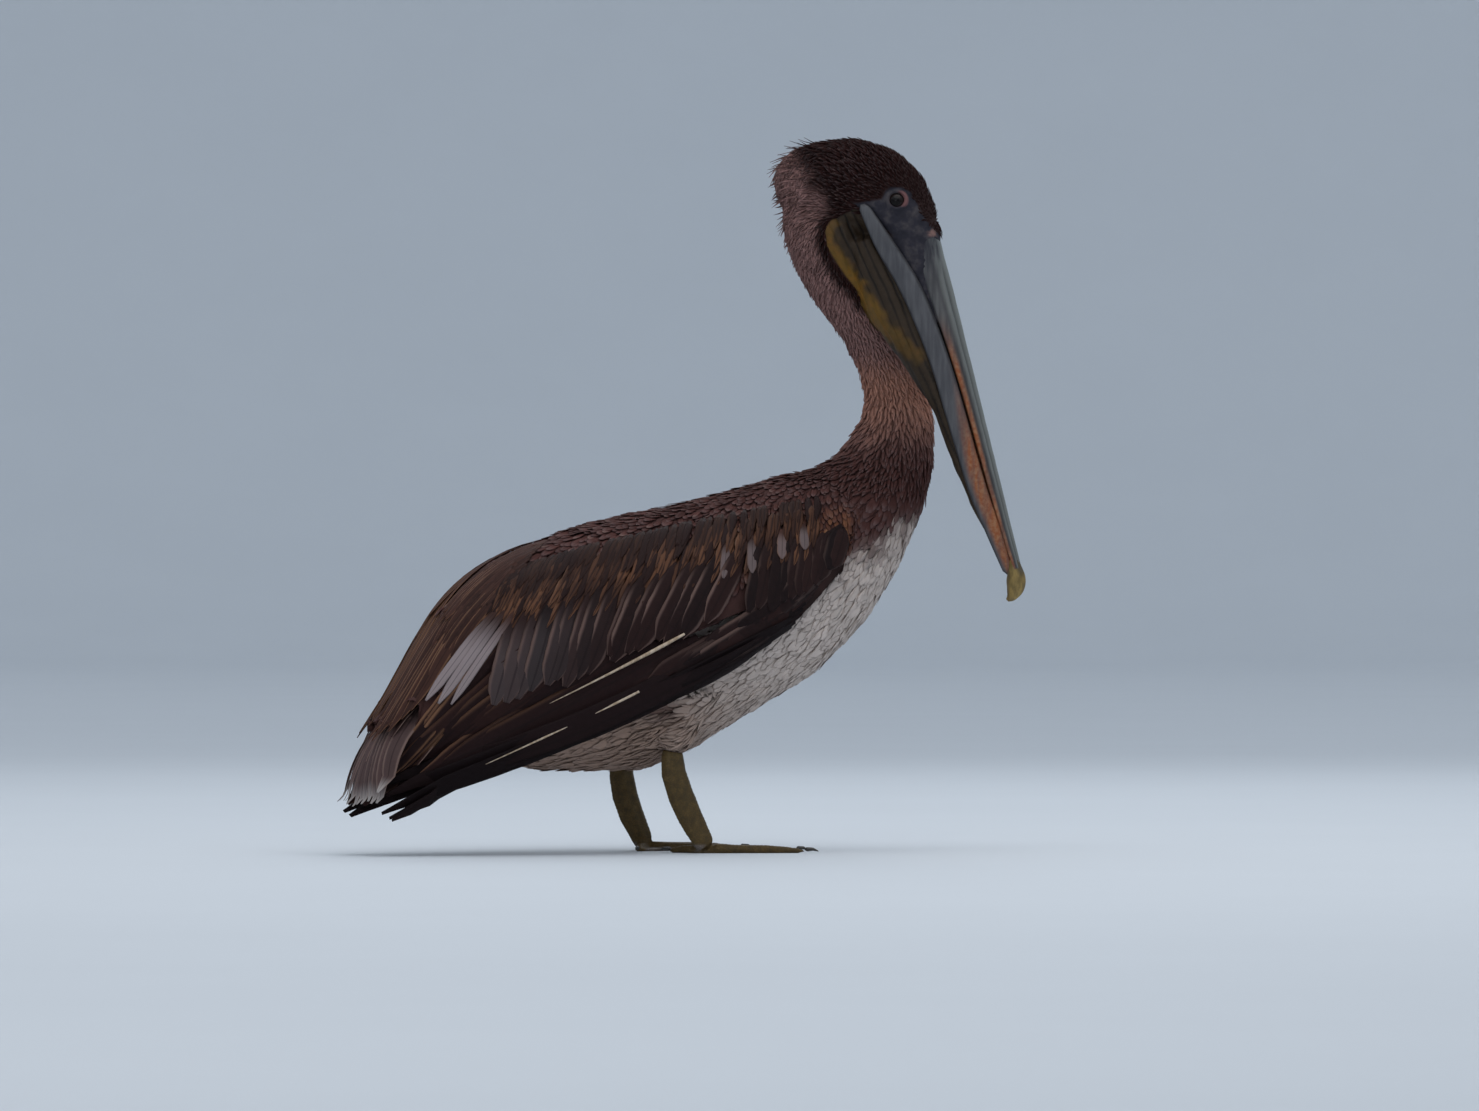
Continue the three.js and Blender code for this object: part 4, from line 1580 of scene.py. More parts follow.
    def markings(self, points: np.ndarray, lid: np.ndarray) -> dict[str, np.ndarray]:
        """Every number that the skin's colours are worked out from.

        Args:
            points: The skin's points.
            lid: How far each belongs to a lid.

        Returns:
            Numbers for each point, by name.
        """
        local = HEAD.local(points)
        face_gap, throat_gap = self.face_distance(local)
        pouch_gap = distance_to(points, ("pouch",))
        on_head = soft_mm(380, 400, points[:, 2]) * soft_mm(-40, -30, local[:, 0])
        face = soft_mm(1.2, -1.2, face_gap) * on_head
        throat = soft_mm(1.2, -1.2, throat_gap) * on_head
        throat = np.maximum(throat, soft_mm(4, 2.5, pouch_gap) * soft_mm(-5, 2, local[:, 0]))
        bill = BILL.local(points)
        along, aside, over = bill.T
        corner = soft_mm(-16, -8, along) * soft_mm(-56, -50, over) * soft_mm(-1, -4, over)
        corner = corner * soft_mm(80, 70, along) * soft_mm(27, 25.5, np.abs(aside))
        face = np.maximum(face, corner * soft_mm(-44, -40, over - along * 0.24))
        throat = throat * (1 - face)
        edge = line_distance(local[:, [0, 2]], THROAT_EDGE)
        reach = bell(local[:, 2] + 80 * MM, 44 * MM)
        wide = (6.5 + 4.0 * reach) * MM
        ragged = value_noise(points, 7 * MM, 7.7) * 0.5
        amber = smooth(1.35, 0.45, edge / wide + ragged) * (0.30 + 0.70 * reach)
        uneven = value_noise(points, 40 * MM, 5.0) * 2.0 + value_noise(points, 9 * MM, 1.0) * 0.5
        run = over - along * 0.16
        # fold is low in the creases between the throat's folds; these are sunk into the skin and painted
        # darker, as shade.
        fold = 1 - np.clip(np.cos(2 * math.pi * run / self.fold_gap + uneven), 0, 1) ** 3
        fold = 1 - (1 - fold) * (0.5 + 0.5 * np.clip(value_noise(points, 18 * MM, 6.6) + 0.5, 0, 1))
        spot = np.hypot(local[:, 0] - 65.5 * MM, local[:, 2] + 36 * MM)
        spot = spot + value_noise(points, 4 * MM, 3.0) * 1.5 * MM
        brow = soft_mm(5.0, 1.5, spot) * soft_mm(3, 6, np.abs(local[:, 1]))
        wing_gap = distance_to(points, ("wing_left", "wing_right"))
        body_gap = distance_to(points, ("trunk", "neck_lower", "neck_middle", "thigh_left", "thigh_right"))
        spine_height = np.interp(points[:, 0], SPINE[:9, 0], SPINE[:9, 2])
        back = soft_mm(12, 26, points[:, 2] - spine_height) * soft_mm(172, 140, points[:, 0])
        quills_gap = distance_to(points, ("primaries_left", "primaries_right"))
        wing = np.maximum(soft_mm(-1.0, 1.0, body_gap - wing_gap), back)
        wing = np.maximum(wing, soft_mm(7, 4, quills_gap))
        values = Markings(points).values()
        values.update(
            wing=wing, face=face, throat=throat, amber=amber, fold=fold, brow=brow, lid=lid,
            bare=np.clip(face + throat + brow, 0, 1), legs=np.zeros(len(points)), web=np.zeros(len(points)),
        )  # fmt: skip
        return values

    def shanks(self) -> tuple[bpy.types.Object, dict[str, np.ndarray]]:
        """The legs and feet as one finer surface with scutes.

        Returns:
            The surface and its markings.
        """
        thing = node_copy(SHANKS, "shanks")
        remesh(thing, self.shank_size, 4)
        points, normals = mesh_points(thing.data), mesh_normals(thing.data)
        aside, along = self.feet.toe_distance(points)
        z = points[:, 2]
        on_toe = soft_mm(11, 8, z) * soft_mm(5.5, 3.5, aside)
        web = soft_mm(9, 6, z) * soft_mm(4.5, 7.5, aside)
        run = np.where(z < 10 * MM, along, z)
        scute = np.abs(np.sin(math.pi * run / (3.6 * MM))) ** 0.6 - 0.6
        on_leg = soft_mm(9, 13, z)
        upper = np.clip(normals[:, 2] * 1.5 + 0.6, 0, 1) * on_toe + on_leg
        vein = value_noise(points, 5 * MM, 1.7) * web
        lift = (scute * upper * 0.35 + vein * 0.35) * soft_mm(0.4, 1.6, z) * MM
        set_points(thing.data, points + normals * lift[:, None])
        values = {"legs": np.ones(len(points)), "bare": np.ones(len(points)), "web": web}
        return thing, values

    def build(self) -> bpy.types.Object:
        """Builds the skin with its markings and bake map.

        Returns:
            The skin.
        """
        thing = node_copy(FLESH, "body_form", self.cheeks)
        remesh(thing, self.face_size, self.smoothing)
        self.refine(thing)
        mesh = thing.data
        points, edges = mesh_points(mesh), mesh_edges(mesh)
        local = HEAD.local(points)
        bare_gap = np.minimum(*self.face_distance(local))
        near_face = soft_mm(9, 2, bare_gap) * (local[:, 0] > -40 * MM)
        points = soften(points, edges, 6, np.where(near_face > 0, near_face, 0.0))
        crown = soft_mm(470, 500, points[:, 2]) * soft_mm(58, 48, local[:, 0]) * soft_mm(2, 9, bare_gap)
        before, outward = points, surface_normals(mesh)
        points = soften(points, edges, 45, crown, back=0.0)
        sunk = ((before - points) * outward).sum(1)
        points = points + outward * (crown * np.average(sunk, weights=crown + 1e-9))[:, None]
        set_points(mesh, points)
        surface = Surface(thing)
        points, lid = self.open_eyes(points, surface)
        values = self.markings(points, lid)
        depth = self.coat - (self.coat - self.head_coat) * soft_mm(440, 500, points[:, 2])
        depth = depth + values["wing"] * soft_mm(330, 290, points[:, 2]) * 1.4 * MM
        covered = (1 - values["bare"]) * soft_mm(1, 8, bare_gap + (local[:, 0] < -40 * MM))
        eyes = np.minimum(*(np.linalg.norm(points - eye, axis=1) for eye in HEAD.eyes.values()))
        covered = covered * soft_mm(12, 15, eyes)
        edge = line_distance(local[:, [0, 2]], THROAT_EDGE)
        folds = values["throat"] * self.fold_depth * (1 - values["fold"]) * smooth(0, 3 * MM, edge)
        wrinkles = values["face"] * value_noise(points, 3.2 * MM, 2.2) * 0.35 * MM
        inward = depth * covered + folds - wrinkles * soft_mm(11, 13, eyes)
        set_points(mesh, points - surface_normals(mesh) * inward[:, None])
        legs, leg_values = self.shanks()
        parts = MeshParts("skin")
        for piece, numbers in ((thing, values), (legs, leg_values)):
            shaped = mesh_points(piece.data)
            full = {key: numbers.get(key, np.zeros(len(shaped))) for key in values}
            parts.add(shaped, NO_QUADS, mesh_triangles(piece.data), full)
            drop(piece)
        skin = parts.make()
        self.unwrap(skin)
        skin.data.materials.append(SkinFinish().material())
        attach(skin, BODY)
        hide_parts(*FLESH, *SHANKS)
        return skin

    def unwrap(self, thing: bpy.types.Object) -> None:
        """Lays the skin out flat as its bake map.

        Args:
            thing: The skin.
        """
        thing.data.uv_layers.new(name=UV_NAME)
        bpy.context.view_layer.objects.active = thing
        thing.select_set(True)
        bpy.ops.object.mode_set(mode="EDIT")
        bpy.ops.mesh.select_all(action="SELECT")
        bpy.ops.uv.smart_project(angle_limit=math.radians(66), island_margin=0.002)
        bpy.ops.object.mode_set(mode="OBJECT")
        thing.select_set(False)


# ---------------------------------------------------------------- bill, eyes and claws


def loft(parts: MeshParts, rings: np.ndarray, values: dict[str, np.ndarray]) -> None:
    """Adds a closed form through rings of points.

    Args:
        parts: The piece it is added to.
        rings: Points by ring and place round it.
        values: A number for each point, by name, in the same layout.
    """
    count, around = rings.shape[:2]
    caps = []
    for i, turn in ((0, -1), (count - 1, 1)):
        middle = count * around + (0 if i == 0 else 1)
        for k in range(around):
            caps.append([middle, i * around + k, i * around + (k + 1) % around][::turn])
    points = np.vstack([rings.reshape(-1, 3), rings[0].mean(0), rings[-1].mean(0)])
    full = {}
    for key, numbers in values.items():
        wide = np.broadcast_to(numbers, (count, around))
        full[key] = np.concatenate([wide.ravel(), [wide[0].mean(), wide[-1].mean()]])
    parts.add(points, ring_quads(count, around), caps, full)


def round_powers(angles: np.ndarray, square: float) -> tuple[np.ndarray, np.ndarray]:
    """Places on a squared-off circle.

    Args:
        angles: The angles round it.
        square: 2 for a circle, more for a squarer form.

    Returns:
        The sideways and the upward places, from -1 to 1.
    """
    power = 2 / square
    sideways = np.sign(np.cos(angles)) * np.abs(np.cos(angles)) ** power
    upward = np.sign(np.sin(angles)) * np.abs(np.sin(angles)) ** power
    return sideways, upward


@dataclass
class UpperBill:
    """The upper half of the bill, with its ridge and side grooves."""

    start: float = -14 * MM
    end: float = 300.5 * MM
    depths: tuple[float, ...] = (24, 23, 21, 17.5, 14.6, 12.5, 11.5, 10.5, 9.5, 8, 6)
    widths: tuple[float, ...] = (19, 20.5, 20.5, 19.5, 18.5, 17.5, 16.5, 15.5, 14, 12, 8)
    ridge_share: float = 0.72
    rings: int = 150
    around: int = 64

    def build(self) -> bpy.types.Object:
        """Builds the piece.

        Returns:
            The piece, dressed and tied to the body.
        """
        share = np.linspace(0, 1, self.rings)
        along = self.start + (self.end - self.start) * share
        depth = curve_values(self.depths, share) * MM
        width = curve_values(self.widths, share) * MM
        angles = np.linspace(0, 2 * math.pi, self.around, endpoint=False)
        sideways, upward = round_powers(angles, 2.4)
        above, below = (depth * self.ridge_share)[:, None], (depth * (1 - self.ridge_share))[:, None]
        height = np.where(upward > 0, upward * above, upward * below) - above
        top = np.clip(upward, 0, 1)
        run = soft_mm(10, 45, along)[:, None]
        ridge = bell(sideways, 0.30) * top
        groove = bell(np.abs(sideways) - 0.52, 0.085) * top
        second = bell(np.abs(sideways) - 0.90, 0.06) * smooth(0.2, 0.5, top)
        height = height + (ridge * 0.9 - groove * 1.3 - second * 0.5) * run * MM
        left = sideways * width[:, None]
        ripple = value_noise(np.stack([along, along * 0, along * 0], 1), 12 * MM, 4.4)[:, None] * 0.25 * MM
        rings = BILL.place(along[:, None], left * 0.985, height + ripple * top)
        warm = soft_mm(60, 130, along)[:, None]
        fading = 1 - 0.25 * soft_mm(180, 260, along)[:, None]
        flank = smooth(0.55, 0.05, upward) * smooth(0.22, 0.55, np.abs(sideways)) * fading
        # Painted shade along the underside edge, where the upper bill meets the bars; it fades towards the
        # tip.
        low = 1 - 0.75 * soft_mm(90, 190, along)[:, None]
        edge = smooth(-0.45, -0.85, upward) * 0.7 * low
        vein = bell(upward - 0.42, 0.16) * soft_mm(60, 120, along)[:, None]
        vein = vein * smooth(0.3, 0.6, np.abs(sideways))
        parts = MeshParts("upper_bill")
        values = {
            "flush": warm * flank,
            # painted highlight along the ridge and over the upward-facing top of the upper bill
            "ridge": np.maximum(ridge * 0.9, smooth(0.5, 0.8, upward) * 0.6) + 0 * warm,
            # painted shade in the two grooves and along the underside edge, plus a dark line along each side
            "line": np.clip(groove * 0.8 * run + second * 0.35 * run + edge + vein * 0.5, 0, 1),
            "base": soft_mm(42, 4, along)[:, None] * smooth(0.25, 0.6, np.abs(sideways)),
        }
        loft(parts, rings, values)
        piece = parts.make()
        piece.data.materials.append(BillFinish("bill_horn").material())
        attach(piece, BODY)
        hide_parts("maxilla")
        return piece


@dataclass
class LowerBill:
    """The two thin bars of the lower bill, which meet at its tip."""

    start: float = -44 * MM
    end: float = 304 * MM
    heights: tuple[float, ...] = (-55, -45, -33.5, -27, -23, -21.4, -20.2, -18.4, -14, -10.5)
    asides: tuple[float, ...] = (28, 25.5, 21.5, 19, 17.5, 16, 14.5, 12.5, 9, 1.5)
    reaches: tuple[float, ...] = (4.5, 8.8, 9.8, 9.4, 9, 8.9, 8.5, 8.2, 7, 4.6)
    thick: float = 3.1 * MM
    rings: int = 150
    around: int = 40

    def build(self) -> bpy.types.Object:
        """Builds the piece.

        Returns:
            The piece, dressed and tied to the body.
        """
        share = np.linspace(0, 1, self.rings)
        along = self.start + (self.end - self.start) * share
        height = curve_values(self.heights, share) * MM
        aside = curve_values(self.asides, share) * MM
        reach = curve_values(self.reaches, share) * MM
        ends = np.minimum(smooth(0, 0.012, share), smooth(1, 0.985, share)) * 0.55 + 0.45
        angles = np.linspace(0, 2 * math.pi, self.around, endpoint=False)
        sideways, upward = round_powers(angles, 2.5)
        hollow = bell(upward, 0.45) * np.abs(sideways) * 0.5 * MM
        parts = MeshParts("lower_bill")
        for side in (-1, 1):
            bar = aside[:, None] + sideways * (self.thick * ends)[:, None]
            left = side * (bar - hollow * np.sign(sideways))
            level = height[:, None] + upward * (reach * ends)[:, None]
            rings = BILL.place(along[:, None], left, level)
            if side > 0:
                rings = rings[:, ::-1]
                upward_here = upward[::-1]
            else:
                upward_here = upward
            reached = soft_mm(105, 215, along)[:, None]
            warm = reached * smooth(0.55 - 1.3 * reached, 0.95 - 0.8 * reached, upward_here)
            fade = np.where(upward_here > 0, 1 - 0.8 * soft_mm(90, 180, along)[:, None], 1.0)
            # Painted shade along each bar's top edge, where it meets the upper bill, and along its underside;
            # the top line fades towards the tip.
            line = smooth(0.72, 0.95, np.abs(upward_here)) * 0.85 * fade
            line = line * (0.6 + 0.4 * smooth(0, 0.1, share))[:, None]
            values = {"flush": warm, "ridge": 0 * line, "line": line}
            loft(parts, rings, values)
        piece = parts.make()
        finish = BillFinish("bar_horn", slate=(0.062, 0.061, 0.068), light=(0.108, 0.106, 0.112))
        piece.data.materials.append(finish.material())
        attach(piece, BODY)
        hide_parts("mandible")
        return piece


@dataclass
class Nail:
    """The hooked nail at the tip of the bill."""

    rows: tuple[tuple[float, ...], ...] = (
        (292, -4.5, 4.6, 4.0, 7.2),
        (298, -5.5, 6, 5, 8),
        (308, -6.5, 8.2, 8, 7.6),
        (316, -9, 7.6, 7.5, 6),
        (322, -13.5, 4.6, 5, 3.6),
        (325, -18.5, 1.2, 1.2, 1.2),
    )
    rings: int = 48
    around: int = 36

    def build(self) -> bpy.types.Object:
        """Builds the piece.

        Returns:
            The piece, dressed and tied to the body.
        """
        share = np.linspace(0, 1, self.rings)
        along, height, above, below, wide = (along_curve(self.rows, share) * MM).T
        angles = np.linspace(0, 2 * math.pi, self.around, endpoint=False)
        sideways, upward = round_powers(angles, 2.2)
        level = np.where(upward > 0, upward * above[:, None], upward * below[:, None])
        keel = bell(sideways, 0.35) * np.clip(upward, 0, 1) * 0.7 * MM
        # The rings turn with the hook's own middle line.
        slope = np.arctan2(np.gradient(height), np.gradient(along))[:, None]
        lift = level + keel
        forward = along[:, None] - np.sin(slope) * lift
        rings = BILL.place(forward, sideways * wide[:, None], height[:, None] + np.cos(slope) * lift)
        # The nail is darker on top near its base and all along its underside.
        patch = soft_mm(310, 301, along)[:, None] * smooth(0.2, 0.8, upward) * 0.8
        under = smooth(-0.3, -0.9, upward) * 0.5
        parts = MeshParts("nail")
        loft(parts, rings, {"patch": np.maximum(patch, under)})
        piece = parts.make()
        finish = HornFinish("nail_horn", (0.150, 0.098, 0.024), (0.31, 0.205, 0.055), 0.45)
        piece.data.materials.append(finish.material())
        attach(piece, BODY)
        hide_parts("bill_nail")
        return piece


@dataclass
class Eyes:
    """The two eyeballs, with a clear swell in front."""

    radius: float = 7.9 * MM
    swell: float = 0.5 * MM
    pupil: float = 4.6 * MM
    rings: int = 40
    around: int = 56

    def build(self) -> bpy.types.Object:
        """Builds the piece.

        Returns:
            The piece, dressed and tied to the body.
        """
        parts = MeshParts("eyeballs")
        polar = np.linspace(0.02, math.pi - 0.02, self.rings)[:, None]
        angles = np.linspace(0, 2 * math.pi, self.around, endpoint=False)[None, :]
        for side, centre in HEAD.eyes.items():
            outward = HEAD.left * (1 if side == "left" else -1)
            first = unit(np.cross(outward, UP))
            second = np.cross(outward, first)
            reach = self.radius + self.swell * bell(polar, 0.55)
            ring = np.cos(angles)[..., None] * first + np.sin(angles)[..., None] * second
            points = centre + (np.cos(polar) * reach)[..., None] * outward
            points = points + (np.sin(polar) * reach)[..., None] * ring
            distance = np.sin(polar) * reach + 0 * angles
            iris = smooth(self.pupil - 0.4 * MM, self.pupil, distance) * soft_mm(7.0, 6.4, distance)
            loft(parts, points[::-1], {"iris": iris[::-1]})
        piece = parts.make()
        piece.data.materials.append(EyeFinish().material())
        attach(piece, BODY)
        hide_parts("eye_left", "eye_right")
        return piece


@dataclass
class Claws:
    """All eight claws, softened from their solids."""

    face_size: float = 0.45 * MM

    def build(self) -> bpy.types.Object:
        """Builds the piece.

        Returns:
            The piece, dressed and tied to the body.
        """
        names = [f"claw_{side}_{toe}" for side in ("left", "right") for toe in (1, 2, 3, 4)]
        piece = node_copy(names, "claws")
        remesh(piece, self.face_size, 3)
        points = mesh_points(piece.data)
        # The claws take the patch colour towards the floor.
        set_value(piece.data, "patch", smooth(6 * MM, 0.0, points[:, 2]) * 0.6)
        finish = HornFinish("claw_horn", (0.018, 0.014, 0.012), (0.06, 0.05, 0.04), 0.3)
        piece.data.materials.append(finish.material())
        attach(piece, BODY)
        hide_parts(*names)
        return piece


# ---------------------------------------------------------------- the small feathers


def body_lie(points: np.ndarray) -> np.ndarray:
    """The way feathers lie on neck and trunk: along the spine towards the tail.

    Args:
        points: Rows of x, y and z.

    Returns:
        One way for each point.
    """
    starts, ends = SPINE[1:], SPINE[:-1]
    ways = unit(ends - starts)
    total = np.zeros_like(points)
    for start, end, way in zip(starts, ends, ways, strict=True):
        edge = end - start
        offset = points - start
        share = np.clip(offset @ edge / (edge @ edge), 0.0, 1.0)
        gap = np.linalg.norm(offset - share[:, None] * edge, axis=1)
        total += way / (gap[:, None] ** 2 + (12 * MM) ** 2) ** 2
    return unit(total)


def lie(points: np.ndarray, wing: np.ndarray) -> np.ndarray:
    """The way small feathers lie at some points.

    Args:
        points: Rows of x, y and z.
        wing: How far each point belongs to wing or back.

    Returns:
        One way for each point.
    """
    ways = body_lie(points)
    # On the wing they hang down and back, the more steeply the nearer to the breast.
    steep = np.radians(np.interp(points[:, 0], np.array([-200, -70, 0, 90]) * MM, [56, 62, 70, 74]))
    down = np.stack([-np.cos(steep), np.zeros(len(points)), -np.sin(steep)], 1)
    ways = unit(ways * (1 - wing[:, None]) + down * wing[:, None])
    # On the head they run back from the base of the bill, and turn down behind it.
    back = unit(points - HEAD.place(72 * MM, 0.0, -34 * MM))
    back = unit(back - HEAD.left * (back @ HEAD.left)[:, None] * 0.4)
    local = HEAD.local(points)
    crown = soft_mm(-40, -8, local[:, 2]) * soft_mm(-62, -25, local[:, 0] - local[:, 2] * 0.3)
    crown = crown * soft_mm(480, 500, points[:, 2])
    return unit(ways * (1 - crown[:, None]) + back * crown[:, None])


class Zone(Enum):
    """The tracts of small feathers."""

    HEAD = "coat_head"
    NECK = "coat_neck"
    THROAT = "coat_lower_neck"
    BREAST = "coat_breast"
    BELLY = "coat_belly"
    BACK = "coat_back"
    THIGHS = "coat_thighs"


@dataclass(frozen=True)
class Tract:
    """One tract of small feathers: how close, long, wide and loose they are."""

    zone: Zone
    gap: float
    length: float
    width: float
    lift: float
    cut: Cut
    loose: float = 0.12
    slot: str = "plumage_pale"


HAIRY = Cut(SLIM, 3, 3, 0.35)
SPIKY = Cut(SLIM, 4, 3, 0.35)
WISPY = Cut(SLIM, 4, 3, 0.28)
LOOSE = Cut(SLIM, 4, 3, 0.2, ragged=0.4)
BREAST_CUT = Cut(ROUNDED, 5, 5, 0.05, 0.12 * MM, 0.6, 1.5)
BELLY_CUT = Cut(ROUNDED, 5, 5, 0.05, 0.12 * MM, 0.7, 1.5)
BACK_CUT = Cut(ROUNDED, 5, 5, 0.08, 0.15 * MM, 0.4, 1.4)
TRACTS = (
    Tract(Zone.HEAD, 1.9 * MM, 7.5 * MM, 2.1 * MM, 2.3 * MM, HAIRY, 0.22, "plumage_dark"),
    Tract(Zone.NECK, 2.5 * MM, 9.5 * MM, 2.7 * MM, 2.6 * MM, HAIRY, 0.24, "plumage_taupe"),
    Tract(Zone.THROAT, 3.0 * MM, 12 * MM, 4.2 * MM, 2.5 * MM, WISPY, 0.22, "plumage_dark"),
    Tract(Zone.BREAST, 3.9 * MM, 19 * MM, 7.5 * MM, 1.6 * MM, BREAST_CUT, 0.13),
    Tract(Zone.BELLY, 4.6 * MM, 22 * MM, 8.5 * MM, 2.0 * MM, BELLY_CUT, 0.16),
    Tract(Zone.BACK, 4.0 * MM, 15 * MM, 7.0 * MM, 2.2 * MM, BACK_CUT, 0.14, "plumage_dark"),
    Tract(Zone.THIGHS, 3.6 * MM, 17 * MM, 5.0 * MM, 3.0 * MM, LOOSE, 0.25),
)  # fmt: skip


PLUMAGE_VALUES = ("cap", "tan", "dark_neck", "upper", "buff", "rust", "smudge", "wing")
NO_TRACT = -1
# Below this line the long feathers cover the wing.
COVERED_X = np.array([-230, -176, -121, -61, 0, 41, 75, 110, 140, 170]) * MM
COVERED_Z = np.array([150, 176, 196, 214, 232, 240, 246, 252, 262, 100]) * MM


@dataclass
class Coat:
    """All the small feathers over the skin."""

    skin: bpy.types.Object
    seed: int = 41
    crest_gap: float = 2.7 * MM
    surface: Surface = field(init=False)
    face_numbers: dict[str, np.ndarray] = field(init=False)

    def __post_init__(self) -> None:
        """Reads the skin's surface and markings."""
        self.surface = Surface(self.skin)
        self.face_numbers = {}
        for layer in self.skin.data.attributes:
            if layer.data_type == "FLOAT" and layer.domain == "POINT":
                numbers = read(layer.data, "value", 1)[:, 0].astype(float)
                self.face_numbers[layer.name] = numbers[self.surface.triangles].mean(1)

    def zones(self, points: np.ndarray, values: dict[str, np.ndarray]) -> np.ndarray:
        """Which tract each point belongs to.

        Args:
            points: Rows of x, y and z.
            values: The markings there, by name.

        Returns:
            The tracts' numbers, or NO_TRACT for none.
        """
        number = {zone: index for index, zone in enumerate(Zone)}
        x, z = points[:, 0], points[:, 2]
        wing = values["wing"] > 0.5
        zone = np.full(len(points), number[Zone.BREAST])
        zone[(x < 45 * MM) & (z < 260 * MM)] = number[Zone.BELLY]
        right = right_side(points)
        from_thigh = np.hypot(right[:, 0] + 16 * MM, right[:, 1] + 41 * MM)
        zone[(z < 128 * MM) & (from_thigh < 34 * MM)] = number[Zone.THIGHS]
        zone[(z > 318 * MM) & (x > 120 * MM)] = number[Zone.THROAT]
        zone[z > 400 * MM] = number[Zone.NECK]
        zone[z > 500 * MM] = number[Zone.HEAD]
        zone[wing & (z < 330 * MM)] = number[Zone.BACK]
        covered = np.interp(right[:, 0], COVERED_X, COVERED_Z)
        zone[wing & ((right[:, 2] < covered) | (x < -262 * MM))] = NO_TRACT
        zone[(values["bare"] > 0.5) | (values["legs"] > 0.5)] = NO_TRACT
        return zone

    def scatter(
        self, rng: np.random.Generator, gap: float, allowed: np.ndarray
    ) -> tuple[np.ndarray, np.ndarray, np.ndarray, dict[str, np.ndarray]]:
        """Places for small feathers, with the markings there.

        Args:
            rng: The random numbers.
            gap: The distance to keep between feathers.
            allowed: Tells which of the skin's faces may be used.

        Returns:
            The places, their soft normals, the faces they lie on and the markings by name.
        """
        spots, normals, faces = self.surface.scatter(rng, gap, allowed)
        values = {key: flat[faces] for key, flat in self.face_numbers.items() if key in PLUMAGE_VALUES}
        return spots, normals, faces, values

    def build(self) -> list[bpy.types.Object]:
        """Builds every tract.

        Returns:
            The pieces.
        """
        rng = np.random.default_rng(self.seed)
        corners = self.surface.points[self.surface.triangles].mean(1)
        zones = self.zones(corners, self.face_numbers)
        material = PlumageFinish().material()
        pieces = []
        for index, tract in enumerate(TRACTS):
            parts = MeshParts(tract.zone.value)
            spots, normals, faces, values = self.scatter(rng, tract.gap, zones == index)
            ways = lie(spots, values["wing"])
            ways = unit(ways - normals * (ways * normals).sum(1, keepdims=True))
            turn = rng.normal(0, tract.loose, len(spots))[:, None]
            ways = unit(ways + np.cross(normals, ways) * turn)
            size = np.clip(rng.normal(1, 0.13, len(spots)), 0.7, 1.4) * self.growth(tract, spots)
            plumes = Plumes(
                spots,
                ways,
                tract.length * size,
                tract.width * size,
                np.full(len(spots), -0.5 * MM),
                tract.lift * np.clip(rng.normal(0.85, 0.16, len(spots)), 0.5, 1.25) * np.minimum(size, 1.15),
                values,
                self.surface.bake_places(spots, faces),
                curls=np.clip(rng.normal(0.1, 0.4, len(spots)), 0, 1) * tract.lift * 0.25,
                rolls=rng.normal(0, 0.10, len(spots)),
            )
            plumes.grow(parts, self.surface, tract.cut, rng)
            if tract.zone is Zone.HEAD:
                self.crest(parts, rng)
            pieces.append(parts.make())
        for piece in pieces:
            piece.data.materials.append(material)
            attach(piece, BODY)
        return pieces

    def growth(self, tract: Tract, spots: np.ndarray) -> np.ndarray:
        """How much larger or smaller than usual feathers are from place to place.

        Args:
            tract: The tract they belong to.
            spots: Their places.

        Returns:
            One size for each place.
        """
        if tract.zone is Zone.HEAD:
            gap = np.linalg.norm(HEAD.local(spots) - [66 * MM, 0, -30 * MM], axis=1)
            return 0.55 + 0.6 * soft_mm(15, 85, gap)
        if tract.zone is Zone.BACK:
            return 0.8 + 0.35 * soft_mm(120, -120, spots[:, 0])
        return np.ones(len(spots))

    def crest(self, parts: MeshParts, rng: np.random.Generator) -> None:
        """Adds the loose spiky feathers behind the crown and down the nape.

        Args:
            parts: The piece they are added to.
            rng: The random numbers.
        """
        corners = self.surface.points[self.surface.triangles].mean(1)
        local = HEAD.local(corners)
        nape = (local[:, 0] < -38 * MM) & (corners[:, 2] > 470 * MM) & (np.abs(local[:, 1]) < 24 * MM)
        crown = (local[:, 0] < -28 * MM) & (local[:, 2] > 18 * MM) & (np.abs(local[:, 1]) < 20 * MM)
        spots, normals, faces, values = self.scatter(rng, self.crest_gap, nape | crown)
        height = HEAD.local(spots)[:, 2]
        strength = soft_mm(-60, 8, height)
        values["cap"] = np.maximum(values["cap"], 0.6 * strength * (rng.random(len(spots)) < 0.5))
        rise = np.interp(height, np.array([-80, -20, 10, 45]) * MM, [-1.5, -0.7, -0.3, 0.2])
        back = -HEAD.forward + UP * rise[:, None]
        count = len(spots)
        loose = rng.random(count) < 0.24
        flatten = np.where(loose, 0.6, 1.0)[:, None]
        laid = unit(back - normals * (back * normals).sum(1, keepdims=True) * flatten)
        ways = unit(laid + rng.normal(0, 0.08, (count, 3)))
        plumes = Plumes(
            spots,
            ways,
            np.where(loose, 8 + 9 * strength, 6 + 3 * strength) * MM + rng.random(count) * 3 * MM,
            np.where(loose, 1.7, 2.3) * MM,
            np.full(count, -0.4 * MM),
            np.where(loose, 2.2 + 2.0 * strength, 1.5 + 0.3 * strength) * MM,
            values,
            self.surface.bake_places(spots, faces),
            curls=np.where(loose, 2.0 + 6.0 * strength, 0.4 + 0.4 * strength) * MM * rng.random(count),
            rolls=rng.normal(0, 0.2, count),
        )
        plumes.grow(parts, self.surface, SPIKY, rng)


# ---------------------------------------------------------------- the long feathers


